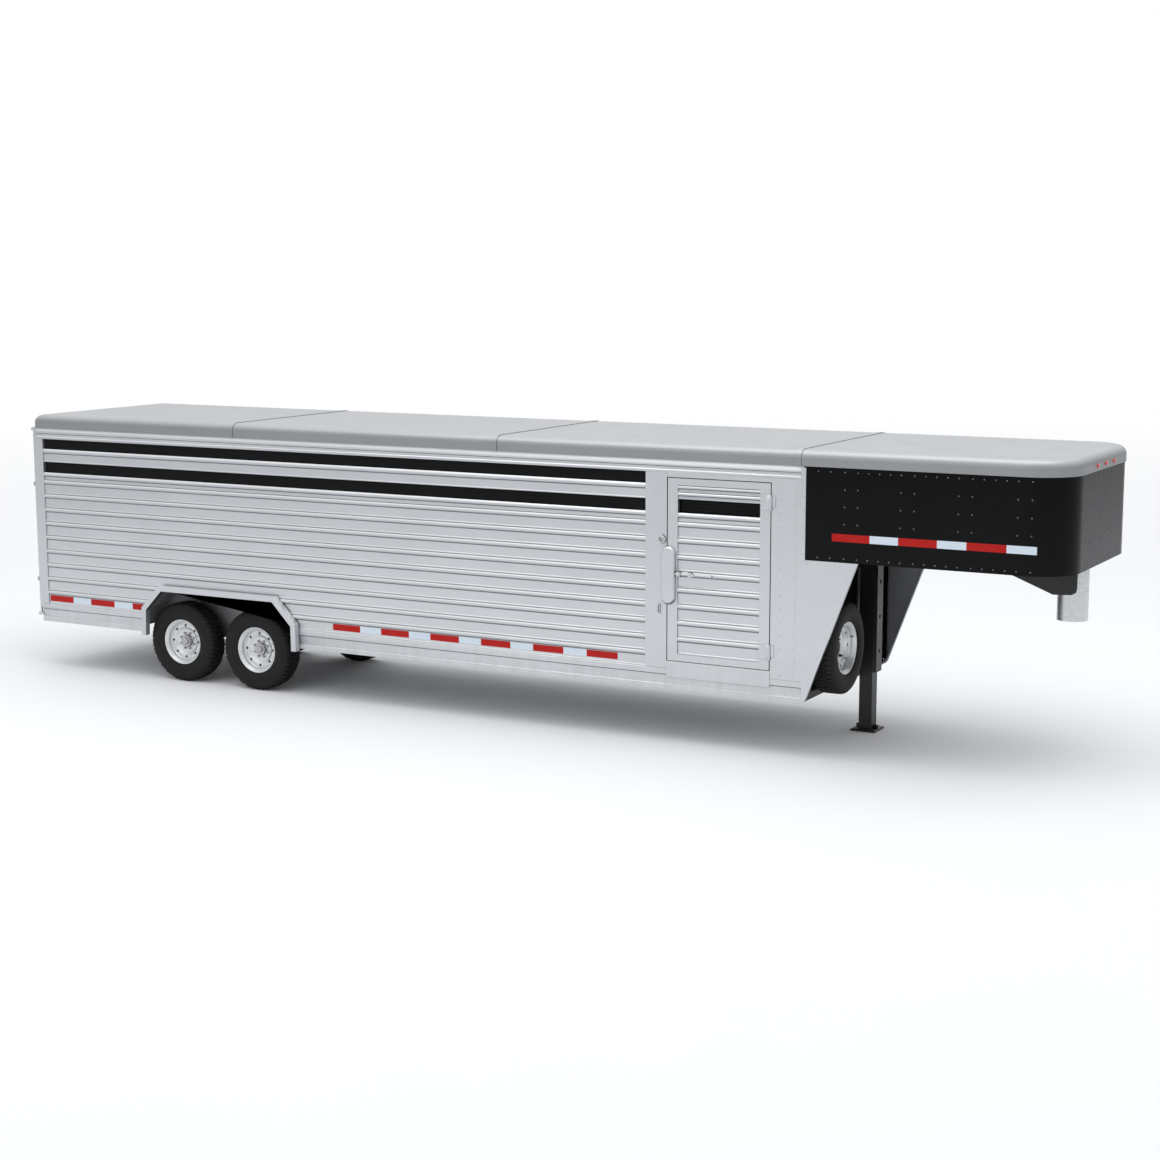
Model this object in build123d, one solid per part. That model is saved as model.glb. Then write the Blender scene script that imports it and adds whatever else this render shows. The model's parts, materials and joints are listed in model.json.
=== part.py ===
from build123d import *

import math
import os

# Gooseneck livestock trailer, millimetres.  +X forward, +Y to the trailer's left, +Z up.
# While the pieces are drawn, x = 0 is the rear face of the body and z = 0 is the ground; the whole
# trailer is moved back at the end, so that its origin is under the middle of its length.

# ---- body -------------------------------------------------------------------------------------
BODY_LENGTH = 8600.0        # rear face to bulkhead
BODY_WIDTH = 1978.0         # over the side walls
BODY_BOTTOM = 479.0         # underside of the bottom rails
NOSE_LENGTH = 2262.0        # bulkhead to the front of the nose
NOSE_BOTTOM = 1714.0
NOSE_CORNER = 370.0         # corner radius of the nose in plan
NOSE_INSET = 4.0            # nose skin inside the side plane
NOSE_RIM = 30.0             # folded rim of the nose skin
WALL = 38.0                 # thickness of slats, gates and doors
SHEET = 4.0                 # aluminium sheet
RAIL_DEPTH = 50.0           # rails and posts, across the trailer
RAIL_WALL = 5.0
TOP_RAIL_HEIGHT = 113.0

# ---- side wall, from the bottom rail up ---------------------------------------------------------
BOTTOM_RAIL = 186.0         # height of the bottom rail
SLAT_PITCH = 145.0
FULL_SLATS = 9
SLAT_BEAD = 50.0            # height of the round bead along a slat's top
HALF_SLAT = 77.0
VENT = 110.0                # height of a vent slot
MIDDLE_SLAT = 134.0         # slat between the two vent slots
REAR_POST = 84.0            # length of the rear corner post along the side
SILL_DEPTH = 40.0           # how far the rear sill stands out behind the body
POST = 40.0                 # inner wall posts
POST_DEPTH = 50.0
POST_STATIONS = (1250.0, 3500.0, 5200.0, 6900.0)
ROOF_BOWS = 9

# ---- side door ----------------------------------------------------------------------------------
DOOR_WIDTH = 980.0          # the door opening
DOOR_SETBACK = 292.0        # bulkhead to the opening's front edge
DOOR_SILL_RISE = 67.0       # opening's lower edge above the bottom rail
DOOR_HEAD_RISE = 63.0       # opening's upper edge above the top slat
DOOR_STILE = 96.0
LATCH_POST = 210.0          # flat post behind the door
HINGE_POST = 62.0           # flat post ahead of the door
GAP = 6.0                   # running gap round doors and gates
HINGE_BARREL = 9.0          # radius of a hinge barrel
HINGE_PIN = 5.0
PIN_CLEARANCE = 0.05        # radial, hinge pins and shafts
SLIDE_CLEARANCE = 0.6       # telescoping tubes, each side

# ---- roof ---------------------------------------------------------------------------------------
ROOF_RISE = 137.0
ROOF_EDGE_RADIUS = 75.0
DECK_HEIGHT = 76.0          # floor of the nose
DECK_SKIN = 5.0
ROOF_OVERHANG = 6.0
ROOF_SHELL = 4.0
ROOF_SHEETS = (2577.0, 3016.0)   # lengths of the two rear roof caps
FRONT_SEAM = 23.0           # front seam behind the bulkhead
SEAM_LIP = 56.0             # width of the raised lip at a seam

# ---- running gear -------------------------------------------------------------------------------
TYRE_RADIUS = 402.5
TYRE_WIDTH = 235.0
RIM_RADIUS = 229.0          # over the rim flange
TYRE_BORE = 203.0           # bead seat
AXLE_STATIONS = (1819.0, 2755.0)
TYRE_INSET = 30.0           # tyre face inside the side plane
ARM_LENGTH = 152.0
ARM_DROP = 30.0             # spindle below the axle tube
ARM_THICKNESS = 30.0
AXLE_TUBE = 76.0
PIVOT_RADIUS = 24.0
SPINDLE_RADIUS = 22.0
BOLT_CIRCLE = 82.55         # eight studs, radius of their circle
STUDS = 8
HUB_PILOT = 60.0            # radius of the wheel's centre hole
DRUM_RADIUS = 165.0
WELL_INNER = 640.0          # inner wall of a wheel well, from the middle of the trailer
WELL_INSET = 8.0            # wheel well inside the outline of its fender flare
FLARE_DEPTH = 63.0          # how far the fender flares stand out

# ---- front --------------------------------------------------------------------------------------
WING_REACH = 490.0          # bulkhead to where a wing's slanted edge meets the nose
WING_THICKNESS = 28.0
COUPLER_SETBACK = 228.0     # middle of the coupler behind the front of the nose
SLEEVE_RADIUS = 130.0
SLEEVE_BOTTOM = 1223.0
SLEEVE_WALL = 12.0
BALL_SOCKET = 29.6          # radius, for a 2 5/16 inch ball
JACK_REACH = 105.0          # bulkhead to the middle of the jack
JACK_SIDE = 320.0
JACK_TUBE = 140.0
JACK_WALL = 8.0
JACK_BOTTOM = 545.0
FOOT = 236.0
SPARE_SIDE = -530.0
SPARE_HEIGHT = 903.0

# ---- tape and rivets ----------------------------------------------------------------------------
TAPE_THICKNESS = 0.8
TAPE_RISE = 30.0            # tape above the bottom rail
TAPE_CLEARANCE = 3.0        # tape below the bead of its slat
NOSE_TAPE_REACH = 258.0     # bulkhead to the rear end of the nose's strip
NOSE_TAPE_LENGTH = 1746.0
NOSE_TAPE_RISE = 176.0      # strip above the nose's lower edge
NOSE_TAPE_HEIGHT = 65.0
RIVET_SPACE = 12.0          # from a rivet's middle to the tape beside it

# ---- gates --------------------------------------------------------------------------------------
CENTRE_GATE = 4300.0        # station of the centre gate
REAR_HARDWARE = 70.0        # how far the rear gate's latch stands out
LAMP_PROUD = 14.0           # how far the front lamps stand out of the roof

# ---- levels and planes worked out from the sizes above ------------------------------------------
HALF = BODY_WIDTH / 2
NOSE_FRONT = BODY_LENGTH + NOSE_LENGTH
RAIL_TOP = BODY_BOTTOM + BOTTOM_RAIL
SLATS_TOP = RAIL_TOP + FULL_SLATS * SLAT_PITCH
VENT_2 = SLATS_TOP + HALF_SLAT
MIDDLE_BOTTOM = VENT_2 + VENT
VENT_1 = MIDDLE_BOTTOM + MIDDLE_SLAT
TOP_RAIL = VENT_1 + VENT - 6.0
FLOOR_HEIGHT = 30.0
PLANK_WIDTH = 200.0
FLOOR_TOP = BODY_BOTTOM + 131.0
FLOOR_BOTTOM = FLOOR_TOP - FLOOR_HEIGHT
BEAM_BOTTOM = BODY_BOTTOM + 21.0
SIDE_TOP = TOP_RAIL + TOP_RAIL_HEIGHT                     # where the roof sits
INNER = HALF - RAIL_DEPTH
DOOR_FRONT = BODY_LENGTH - DOOR_SETBACK
DOOR_REAR = DOOR_FRONT - DOOR_WIDTH
DOOR_SILL = RAIL_TOP + DOOR_SILL_RISE
DOOR_HEAD = VENT_1 + DOOR_HEAD_RISE
ROOF_SEAMS = (ROOF_SHEETS[0], sum(ROOF_SHEETS), BODY_LENGTH - FRONT_SEAM)
WING_TOP = BODY_LENGTH + WING_REACH
COUPLER_STATION = NOSE_FRONT - COUPLER_SETBACK
JACK_STATION = BODY_LENGTH + JACK_REACH
NOSE_TAPE_START = BODY_LENGTH + NOSE_TAPE_REACH
NOSE_TAPE_BOTTOM = NOSE_BOTTOM + NOSE_TAPE_RISE
SLATS_FRONT = DOOR_REAR - 8.0 - LATCH_POST
CORNER_REAR = DOOR_FRONT + HINGE_POST
TYRE_MIDDLE = HALF - TYRE_INSET - TYRE_WIDTH / 2
WHEEL_FACE = TYRE_MIDDLE                     # mounting face of the wheel, zero offset
AXLE_HEIGHT = TYRE_RADIUS + ARM_DROP
ARM_REACH = math.sqrt(ARM_LENGTH**2 - ARM_DROP**2)
FLARE_REAR = AXLE_STATIONS[0] - 434.0
FLARE_FRONT = AXLE_STATIONS[1] + 570.0
FLARE_TOP = BODY_BOTTOM + 499.0
FRONT_END = NOSE_FRONT + ROOF_OVERHANG + LAMP_PROUD
MIDDLE = (FRONT_END - REAR_HARDWARE) / 2                  # station of the origin


# ---- shapes --------------------------------------------------------------------------------------
def block(x0, x1, y0, y1, z0, z1):
    """A box between two stations, two widths and two heights."""
    size = Box(abs(x1 - x0), abs(y1 - y0), abs(z1 - z0))
    return Pos((x0 + x1) / 2, (y0 + y1) / 2, (z0 + z1) / 2) * size


def tube(x0, x1, y0, y1, z0, z1, wall, along):
    """A rectangular tube, open at both ends along "x", "y" or "z"."""
    inset = [wall, wall, wall]
    inset["xyz".index(along)] = -1.0
    dx, dy, dz = inset
    return block(x0, x1, y0, y1, z0, z1) - block(x0 + dx, x1 - dx, y0 + dy, y1 - dy, z0 + dz, z1 - dz)


def plate_xz(points, y0, y1):
    """A plate from an outline of (x, z) points, between two widths."""
    face = Face(Wire.make_polygon([(x, y0, z) for x, z in points], close=True))
    return Solid.extrude(face, Vector(0, y1 - y0, 0))


def bar_x(points, x0, x1):
    """A bar from an outline of (y, z) points, between two stations."""
    face = Face(Wire.make_polygon([(x0, y, z) for y, z in points], close=True))
    return Solid.extrude(face, Vector(x1 - x0, 0, 0))


def rod_x(x0, x1, y, z, r):
    return Pos((x0 + x1) / 2, y, z) * Rot(0, 90, 0) * Cylinder(r, abs(x1 - x0))


def rod_y(x, y0, y1, z, r):
    return Pos(x, (y0 + y1) / 2, z) * Rot(90, 0, 0) * Cylinder(r, abs(y1 - y0))


def rod_z(x, y, z0, z1, r):
    return Pos(x, y, (z0 + z1) / 2) * Cylinder(r, abs(z1 - z0))


def steps(first, last, pitch):
    """Evenly spaced places from first to last, about a pitch apart."""
    count = max(1, round((last - first) / pitch))
    return [first + i * (last - first) / count for i in range(count + 1)]


def other_side(shape):
    return mirror(shape, about=Plane.XZ)


def both_sides(shapes):
    return list(shapes) + [other_side(s) for s in shapes]


def inset_flare(step):
    """The fender flare's outline, each line moved inwards by step."""
    cut = step * 0.42
    return [
        (FLARE_REAR + step, 455.0),
        (FLARE_REAR + 10.0 + step, 740.0 - cut),
        (FLARE_REAR + 245.0 + cut, FLARE_TOP - step),
        (FLARE_FRONT - 255.0 - cut, FLARE_TOP - step),
        (FLARE_FRONT - 5.0 - step, 722.0 - cut),
        (FLARE_FRONT - step, 455.0),
    ]


def well_outline(step):
    """The outline of a fender flare moved inwards by step, its lower ends carried on down."""
    return [(x, z - 60.0 if z < BODY_BOTTOM else z) for x, z in inset_flare(step)]


def wheel_cut(y0, y1):
    """What is cut from walls and floor for a wheel well."""
    return plate_xz(well_outline(WELL_INSET), y0, y1)


# ---- side walls ----------------------------------------------------------------------------------
def slat(bottom, height, x0, x1):
    """One hollow slat of the right wall: a round bead at its top, a flat face and a small lower lip."""
    y = -HALF
    top = bottom + height
    bead = min(SLAT_BEAD, 0.6 * height)
    outline = [
        Line((x0, y + 12, bottom), (x0, y + 4, bottom + 2)),
        Line((x0, y + 4, bottom + 2), (x0, y + 4, bottom + 10)),
        Line((x0, y + 4, bottom + 10), (x0, y + 10, bottom + 15)),
        Line((x0, y + 10, bottom + 15), (x0, y + 10, top - bead)),
        ThreePointArc((x0, y + 10, top - bead), (x0, y, top - bead / 2), (x0, y + 12, top)),
        Line((x0, y + 12, top), (x0, y + WALL, top)),
        Line((x0, y + WALL, top), (x0, y + WALL, bottom)),
        Line((x0, y + WALL, bottom), (x0, y + 12, bottom)),
    ]
    shell = Solid.extrude(Face(Wire(outline)), Vector(x1 - x0, 0, 0))
    return shell - block(x0 - 1, x1 + 1, y + 15, y + WALL - 3, bottom + 3, top - 6)


def slat_levels():
    full = [(RAIL_TOP + i * SLAT_PITCH, SLAT_PITCH) for i in range(FULL_SLATS)]
    return full + [(SLATS_TOP, HALF_SLAT), (MIDDLE_BOTTOM, MIDDLE_SLAT)]


def side_slats(front):
    """The slats of the right wall, from the rear post to the given station."""
    cut = wheel_cut(-HALF - 1, -HALF + WALL + 1)
    well_top = FLARE_TOP - WELL_INSET
    rear_corner, front_corner = [x for x, z in well_outline(WELL_INSET) if z == well_top]
    pieces = []
    for bottom, height in slat_levels():
        ends = [REAR_POST, front]
        if bottom < well_top < bottom + height:
            ends = [REAR_POST, rear_corner, front_corner, front]
        for x0, x1 in zip(ends, ends[1:]):
            piece = slat(bottom, height, x0, x1)
            pieces += (piece - cut).solids() if bottom < well_top else [piece]
    return pieces


def bottom_rails():
    """A box rail along each side, its web set back between a flange and a ridge."""
    y = -HALF
    rail = bar_x([
        (y, BODY_BOTTOM), (y, BODY_BOTTOM + 40), (y + 10, BODY_BOTTOM + 46),
        (y + 10, BODY_BOTTOM + 126), (y, BODY_BOTTOM + 134), (y, RAIL_TOP - 4), (y + 4, RAIL_TOP),
        (y + RAIL_DEPTH, RAIL_TOP), (y + RAIL_DEPTH, BODY_BOTTOM)], 0, BODY_LENGTH)
    rail -= block(-1, BODY_LENGTH + 1, y + 10 + RAIL_WALL, -INNER - RAIL_WALL,
                  BODY_BOTTOM + RAIL_WALL, RAIL_TOP - RAIL_WALL)
    return both_sides((rail - wheel_cut(-HALF - 1, -INNER + 1)).solids())


def top_rails():
    """A box rail under the roof on each side, with two ridges and a groove between them."""
    y = -HALF
    groove = TOP_RAIL + 58
    rail = bar_x([
        (y, TOP_RAIL), (y, TOP_RAIL + 22), (y + 6, TOP_RAIL + 28), (y + 6, groove - 6), (y, groove),
        (y, groove + 30), (y + 5, groove + 36), (y + 5, SIDE_TOP), (y + RAIL_DEPTH, SIDE_TOP),
        (y + RAIL_DEPTH, TOP_RAIL)], 0, BODY_LENGTH)
    hollow = block(-1, BODY_LENGTH + 1, y + 6 + RAIL_WALL, -INNER - RAIL_WALL,
                   TOP_RAIL + RAIL_WALL, SIDE_TOP - RAIL_WALL)
    return both_sides([rail - hollow])


def upright(x0, x1, y0=-HALF, y1=-INNER, z0=RAIL_TOP, z1=TOP_RAIL):
    return tube(x0, x1, y0, y1, z0, z1, SHEET, "z")


def wall_posts():
    """Corner posts at the rear, flat posts each side of the door, and posts inside the slats."""
    behind_slats = -HALF + WALL
    right = [upright(0, REAR_POST), upright(SLATS_FRONT, DOOR_REAR - 8.0),
             upright(DOOR_FRONT, CORNER_REAR), upright(BODY_LENGTH - 60, BODY_LENGTH)]
    left = [other_side(right[0]), other_side(right[2]), other_side(right[3])]
    inner = [upright(x, x + POST, behind_slats, behind_slats + POST_DEPTH) for x in POST_STATIONS]
    header = tube(DOOR_REAR - 8.0, DOOR_FRONT, -HALF, -INNER, DOOR_HEAD + 1, TOP_RAIL, SHEET, "x")
    return right + left + both_sides(inner) + [header]


def corner_skins():
    """Flat sheets between the door post and the bulkhead, backed by the front corner post."""
    skin = block(CORNER_REAR, BODY_LENGTH, -HALF, -HALF + SHEET, RAIL_TOP, TOP_RAIL)
    skin -= block(BODY_LENGTH - 60, BODY_LENGTH + 1, -HALF - 1, -HALF + SHEET + 1,
                  RAIL_TOP - 1, TOP_RAIL + 1)
    return both_sides([skin])


def front_wings():
    """Tapered side sheets under the nose, folded inwards along the slanted edge."""
    outline = [(BODY_LENGTH, BODY_BOTTOM + 4), (BODY_LENGTH + 26, BODY_BOTTOM + 16),
               (BODY_LENGTH + 46, BODY_BOTTOM + 44), (WING_TOP, NOSE_BOTTOM), (BODY_LENGTH, NOSE_BOTTOM)]
    pocket = [(BODY_LENGTH - 1, BODY_BOTTOM + 26), (BODY_LENGTH + 26, BODY_BOTTOM + 40),
              (WING_TOP - 16, NOSE_BOTTOM + 1), (BODY_LENGTH - 1, NOSE_BOTTOM + 1)]
    wing = plate_xz(outline, -HALF, -HALF + WING_THICKNESS)
    wing -= plate_xz(pocket, -HALF + SHEET, -HALF + WING_THICKNESS + 1)
    return both_sides([wing])


def bulkhead():
    """The hollow front wall below the nose."""
    wall = tube(BODY_LENGTH - WALL, BODY_LENGTH, -INNER, INNER, FLOOR_TOP, NOSE_BOTTOM, SHEET, "y")
    lip = block(BODY_LENGTH - WALL, BODY_LENGTH, -INNER, INNER, BODY_BOTTOM, FLOOR_TOP)
    lip -= block(BODY_LENGTH - WALL - 1, BODY_LENGTH - SHEET, -INNER - 1, INNER + 1,
                 BODY_BOTTOM + SHEET, FLOOR_TOP - SHEET)
    return [wall, lip]


def bulkhead_corner_posts():
    """Folded strips in the corners between bulkhead and wings."""
    y0 = -HALF + WING_THICKNESS
    strip = block(BODY_LENGTH, BODY_LENGTH + 5, y0, y0 + 70, BODY_BOTTOM + 30, NOSE_BOTTOM)
    strip += block(BODY_LENGTH, BODY_LENGTH + 36, y0, y0 + 5, BODY_BOTTOM + 60, NOSE_BOTTOM)
    return both_sides([strip])


# ---- floor ---------------------------------------------------------------------------------------
def floor_beams():
    """I-shaped crossmembers between the bottom rails, and two rails that carry the axles."""
    x0, x1 = AXLE_STATIONS[0] - 520, AXLE_STATIONS[1] + 640
    inner, outer = WELL_INNER - 48, WELL_INNER - 4
    axle_rail = tube(x0, x1, inner, outer, BEAM_BOTTOM, FLOOR_BOTTOM, 6, "x")
    keep_out = block(x0, x1, inner, outer, BEAM_BOTTOM - 1, FLOOR_BOTTOM + 1)
    beams = []
    count = 24
    for i in range(count):
        x = 60 + i * (BODY_LENGTH - WALL - 160) / (count - 1)
        beam = block(x, x + 50, -INNER, INNER, BEAM_BOTTOM, FLOOR_BOTTOM)
        for side in (x - 1, x + 29):
            beam -= block(side, side + 22, -INNER - 1, INNER + 1, BEAM_BOTTOM + 6, FLOOR_BOTTOM - 6)
        if x0 - 60 < x < x1 + 10:
            beam = beam - keep_out - other_side(keep_out)
            beam = beam - wheel_cut(-INNER - 1, -WELL_INNER) - wheel_cut(WELL_INNER, INNER + 1)
        beams += beam.solids()
    return beams + both_sides([axle_rail])


def floor_planks():
    """Hollow floor planks that run the length of the body, some ending at the wheel wells."""
    outer = steps(WELL_INNER, INNER, PLANK_WIDTH)
    edges = [-y for y in reversed(outer)] + steps(-WELL_INNER, WELL_INNER, PLANK_WIDTH)[1:-1] + outer
    planks = []
    for y0, y1 in zip(edges, edges[1:]):
        plank = block(0, BODY_LENGTH - WALL, y0, y1, FLOOR_BOTTOM, FLOOR_TOP)
        plank -= block(-1, BODY_LENGTH, y0 + 3, y1 - 3, FLOOR_BOTTOM + 3, FLOOR_TOP - 5)
        plank -= wheel_cut(-INNER - 1, -WELL_INNER)
        plank -= wheel_cut(WELL_INNER, INNER + 1)
        planks += plank.solids()
    return planks


def wheel_wells():
    """Sheet boxes over the wheels, open below and on the outside."""
    y0, y1 = -HALF + 1, -WELL_INNER
    well = wheel_cut(y0, y1) - plate_xz(well_outline(WELL_INSET + SHEET), y0 - 1, y1 - SHEET)
    well -= block(FLARE_REAR, FLARE_FRONT, y0 - 1, y1 + 1, 0, FLOOR_BOTTOM)
    return both_sides([well])


def fender_flares():
    """Pressed flares that stand out from the side walls round the wheels."""
    y0 = -HALF - FLARE_DEPTH
    flare = plate_xz(inset_flare(0.0), y0, -HALF) - plate_xz(inset_flare(56.0), y0 - 1, -HALF + 1)
    band = plate_xz(inset_flare(SHEET), y0 + SHEET, -HALF + 1)
    band -= plate_xz(inset_flare(56.0 - SHEET), y0, -HALF + 2)
    return both_sides([flare - band])


# ---- roof and nose -------------------------------------------------------------------------------
def roof_section(x0, x1, grow, rounded_rear=False):
    """A length of roof cap, its section grown outwards by grow, its rear end rounded if asked."""
    half = HALF + ROOF_OVERHANG + grow
    bar = block(x0, x1, -half, half, SIDE_TOP, SIDE_TOP + ROOF_RISE + grow)
    top_edges = bar.edges().group_by(Axis.Z)[-1]
    rounded = top_edges.filter_by(Axis.X)
    if rounded_rear:
        rounded.append(top_edges.filter_by(Axis.Y).sort_by(Axis.X)[0])
    return fillet(rounded, ROOF_EDGE_RADIUS + grow)


def roof_panels():
    """Four moulded caps; each carries the raised lip over its joint with the next one ahead."""
    starts = (0.0,) + ROOF_SEAMS
    panels = []
    for x0, x1 in zip(starts, ROOF_SEAMS):
        first = x0 == 0.0
        shell = roof_section(x0, x1, 0.0, first) + roof_section(x1 - SEAM_LIP, x1, 6.0)
        inside = x0 + ROOF_SHELL if first else x0 - 1
        hollow = roof_section(inside, x1 + 1, -ROOF_SHELL, first)
        hollow += block(inside, x1 + 1, -HALF, HALF, SIDE_TOP - 1, SIDE_TOP)
        panels.append(shell - hollow)
    return panels + [front_roof()]


def nose_plan(inset, x0, z0, z1):
    """The nose in plan, its two front corners round, between two heights."""
    bar = block(x0, NOSE_FRONT - inset, -HALF + inset, HALF - inset, z0, z1)
    corners = bar.edges().filter_by(Axis.Z).group_by(Axis.X)[-1]
    return fillet(corners, NOSE_CORNER - inset)


def front_roof():
    """The cap over the nose, round in plan and along its top edge."""
    x0 = ROOF_SEAMS[-1]
    cap = nose_plan(-ROOF_OVERHANG, x0, SIDE_TOP, SIDE_TOP + ROOF_RISE)
    rim = cap.edges().group_by(Axis.Z)[-1].sort_by(Axis.X)[1:]
    cap = fillet(rim, ROOF_EDGE_RADIUS)
    hollow = nose_plan(ROOF_SHELL - ROOF_OVERHANG, x0 - 1, SIDE_TOP - 1, SIDE_TOP + ROOF_RISE - ROOF_SHELL)
    hollow = fillet(hollow.edges().group_by(Axis.Z)[-1].sort_by(Axis.X)[1:], ROOF_EDGE_RADIUS - ROOF_SHELL)
    return cap - hollow


def roof_bows():
    """Cross tubes between the top rails."""
    bows = []
    for i in range(ROOF_BOWS):
        x = 300 + i * (BODY_LENGTH - 700) / (ROOF_BOWS - 1)
        bows.append(tube(x, x + 40, -INNER, INNER, SIDE_TOP - 34, SIDE_TOP - 2, 3, "y"))
    return bows


def nose_shell():
    """The painted skin of the nose, with a folded rim inside its top and bottom edges."""
    shell = nose_plan(NOSE_INSET, BODY_LENGTH, NOSE_BOTTOM, SIDE_TOP)
    shell -= nose_plan(NOSE_INSET + NOSE_RIM, BODY_LENGTH - 1, NOSE_BOTTOM - 1, SIDE_TOP + 1)
    return shell - nose_plan(NOSE_INSET + SHEET, BODY_LENGTH - 1, NOSE_BOTTOM + 80, SIDE_TOP - 24)


def nose_floor():
    """The hollow deck of the nose, open to the rear, with two beams and a ring round the sleeve."""
    top = NOSE_BOTTOM + DECK_HEIGHT
    edge = NOSE_INSET + NOSE_RIM
    deck = nose_plan(edge, BODY_LENGTH, NOSE_BOTTOM, top)
    hollow = nose_plan(edge + 6, BODY_LENGTH - 1, NOSE_BOTTOM + DECK_SKIN, top - DECK_SKIN)
    beam = block(BODY_LENGTH, NOSE_FRONT, 150, 190, NOSE_BOTTOM, top)
    ring = rod_z(COUPLER_STATION, 0, NOSE_BOTTOM, top, SLEEVE_RADIUS + 14)
    deck -= hollow - beam - other_side(beam) - ring
    return deck - rod_z(COUPLER_STATION, 0, NOSE_BOTTOM - 1, top + 1, SLEEVE_RADIUS)


def nose_joint_strips():
    """Upright strips that cover the joint between body and nose."""
    strip = block(BODY_LENGTH - 26, BODY_LENGTH + 20, -HALF - 3, -HALF, NOSE_BOTTOM - 10, TOP_RAIL + 100)
    filler = block(BODY_LENGTH, BODY_LENGTH + 20, -HALF, -HALF + 4, NOSE_BOTTOM, TOP_RAIL + 100)
    return both_sides([strip + filler])


# ---- fasteners -----------------------------------------------------------------------------------
def rivet(radius=7.0):
    """A domed rivet head on the plane y = 0, standing out towards -Y."""
    head = Rot(90, 0, 0) * Cylinder(radius, 4.0)
    return fillet(head.edges().sort_by(Axis.Y)[0], 3.0)


def rivets_on_side(places, plane=-HALF, radius=7.0):
    head = rivet(radius)
    return [head.moved(Location((x, plane - 2.0, z))) for x, z in places]


def body_rivets():
    """Rivets of the corner skins, wings and joint strips."""
    places = [(CORNER_REAR + 26, z) for z in steps(700, 2330, 116)]
    places += [(BODY_LENGTH - 74, z) for z in steps(700, 2300, 122)]
    places += [(x, NOSE_BOTTOM - 26) for x in steps(BODY_LENGTH + 40, WING_TOP - 60, 92)]
    slope = (WING_TOP - BODY_LENGTH - 46) / (NOSE_BOTTOM - BODY_BOTTOM - 44)
    places += [(BODY_LENGTH + 6 + (z - BODY_BOTTOM - 44) * slope, z) for z in steps(900, 1560, 165)]
    right = rivets_on_side(places)
    right += rivets_on_side([(BODY_LENGTH - 3, z) for z in steps(1770, 2380, 122)], -HALF - 3)
    return both_sides(right)


def on_nose_side(x, z):
    """A rivet on the nose's right side, turned with the skin where the front corner is round."""
    radius = NOSE_CORNER - NOSE_INSET
    past = max(0.0, x - (NOSE_FRONT - NOSE_CORNER))
    angle = past / radius
    x_skin = x - past + radius * math.sin(angle)
    y_skin = -HALF + NOSE_INSET + radius * (1 - math.cos(angle))
    return Pos(x_skin, y_skin, z) * Rot(0, 0, math.degrees(angle)) * Pos(0, -2, 0) * rivet()


def near_nose_tape(x, z):
    """Whether a rivet at this place would touch the strip of tape on the nose."""
    along = NOSE_TAPE_START - RIVET_SPACE < x < NOSE_TAPE_START + NOSE_TAPE_LENGTH + RIVET_SPACE
    return along and NOSE_TAPE_BOTTOM - RIVET_SPACE < z < NOSE_TAPE_BOTTOM + NOSE_TAPE_HEIGHT + RIVET_SPACE


def nose_rivets():
    """Pairs of rivet columns over the nose's inner posts, rows along its edges and its front face."""
    first, pitch, pair = 366.0, 491.0, 115.0
    places = []
    for column in range(4):
        x = BODY_LENGTH + first + column * pitch
        for x_pair in (x, x + pair):
            places += [(x_pair, z) for z in steps(NOSE_BOTTOM + 30, SIDE_TOP - 38, 146)]
        places += [(x + pair + d, SIDE_TOP - 38) for d in (94, 188, 282) if column < 3]
        places += [(x + pair + d, NOSE_BOTTOM + 30) for d in (94, 188, 282) if column < 3]
    places += [(BODY_LENGTH + 130 + d, z) for d in (0, 110) for z in (NOSE_BOTTOM + 30, SIDE_TOP - 38)]
    side = [on_nose_side(x, z) for x, z in places if not near_nose_tape(x, z)]
    front = []
    for y in steps(-520, 520, 130):
        front.append((y, NOSE_BOTTOM + 30))
        front.append((y, SIDE_TOP - 38))
    for y in (-460, -60, 340):
        front += [(y + d, NOSE_BOTTOM + z) for d in (0, 115) for z in (230, 420, 610)]
    head = Rot(0, 0, 90) * rivet()
    face = [head.moved(Location((NOSE_FRONT - NOSE_INSET + 2.0, y, z))) for y, z in front]
    return both_sides(side) + face


# ---- tape and lamps ------------------------------------------------------------------------------


def tape_row(first, last, z, height, plane, red, white):
    """Alternating red and white strips from one station to another; the last one is cut to fit."""
    row, x, colour = [], first, "red"
    while x < last - 1:
        length = min(red if colour == "red" else white, last - x)
        row.append((colour, block(x, x + length, plane - TAPE_THICKNESS, plane, z, z + height)))
        x, colour = x + length, "white" if colour == "red" else "red"
    return row


def tape_strips():
    """The rows of reflective tape on one side: behind and ahead of the wheels, and on the nose."""
    z_body, on_slat = RAIL_TOP + TAPE_RISE, -HALF + 10
    height = SLAT_PITCH - SLAT_BEAD - TAPE_RISE - TAPE_CLEARANCE
    rear = tape_row(REAR_POST + 16, FLARE_REAR, z_body, height, on_slat, 318.0, 240.0)
    front = tape_row(FLARE_FRONT + 399, FLARE_FRONT + 3516, z_body, height, on_slat, 318.0, 240.0)
    nose = tape_row(NOSE_TAPE_START, NOSE_TAPE_START + NOSE_TAPE_LENGTH, NOSE_TAPE_BOTTOM, NOSE_TAPE_HEIGHT,
                    -HALF + NOSE_INSET, 334.0, 248.0)
    return rear + front + nose


def tape(colour):
    return both_sides([strip for name, strip in tape_strips() if name == colour])


def marker_lamps():
    """Three small clearance lamps on the front edge of the roof."""
    lamps = []
    for y in (-250, 0, 250):
        lens = Cylinder(18, LAMP_PROUD)
        lens = fillet(lens.edges().sort_by(Axis.Z)[-1], 7)
        lamps.append(Pos(FRONT_END - LAMP_PROUD / 2, y, SIDE_TOP + 44) * Rot(0, 90, 0) * lens)
    return lamps


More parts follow.
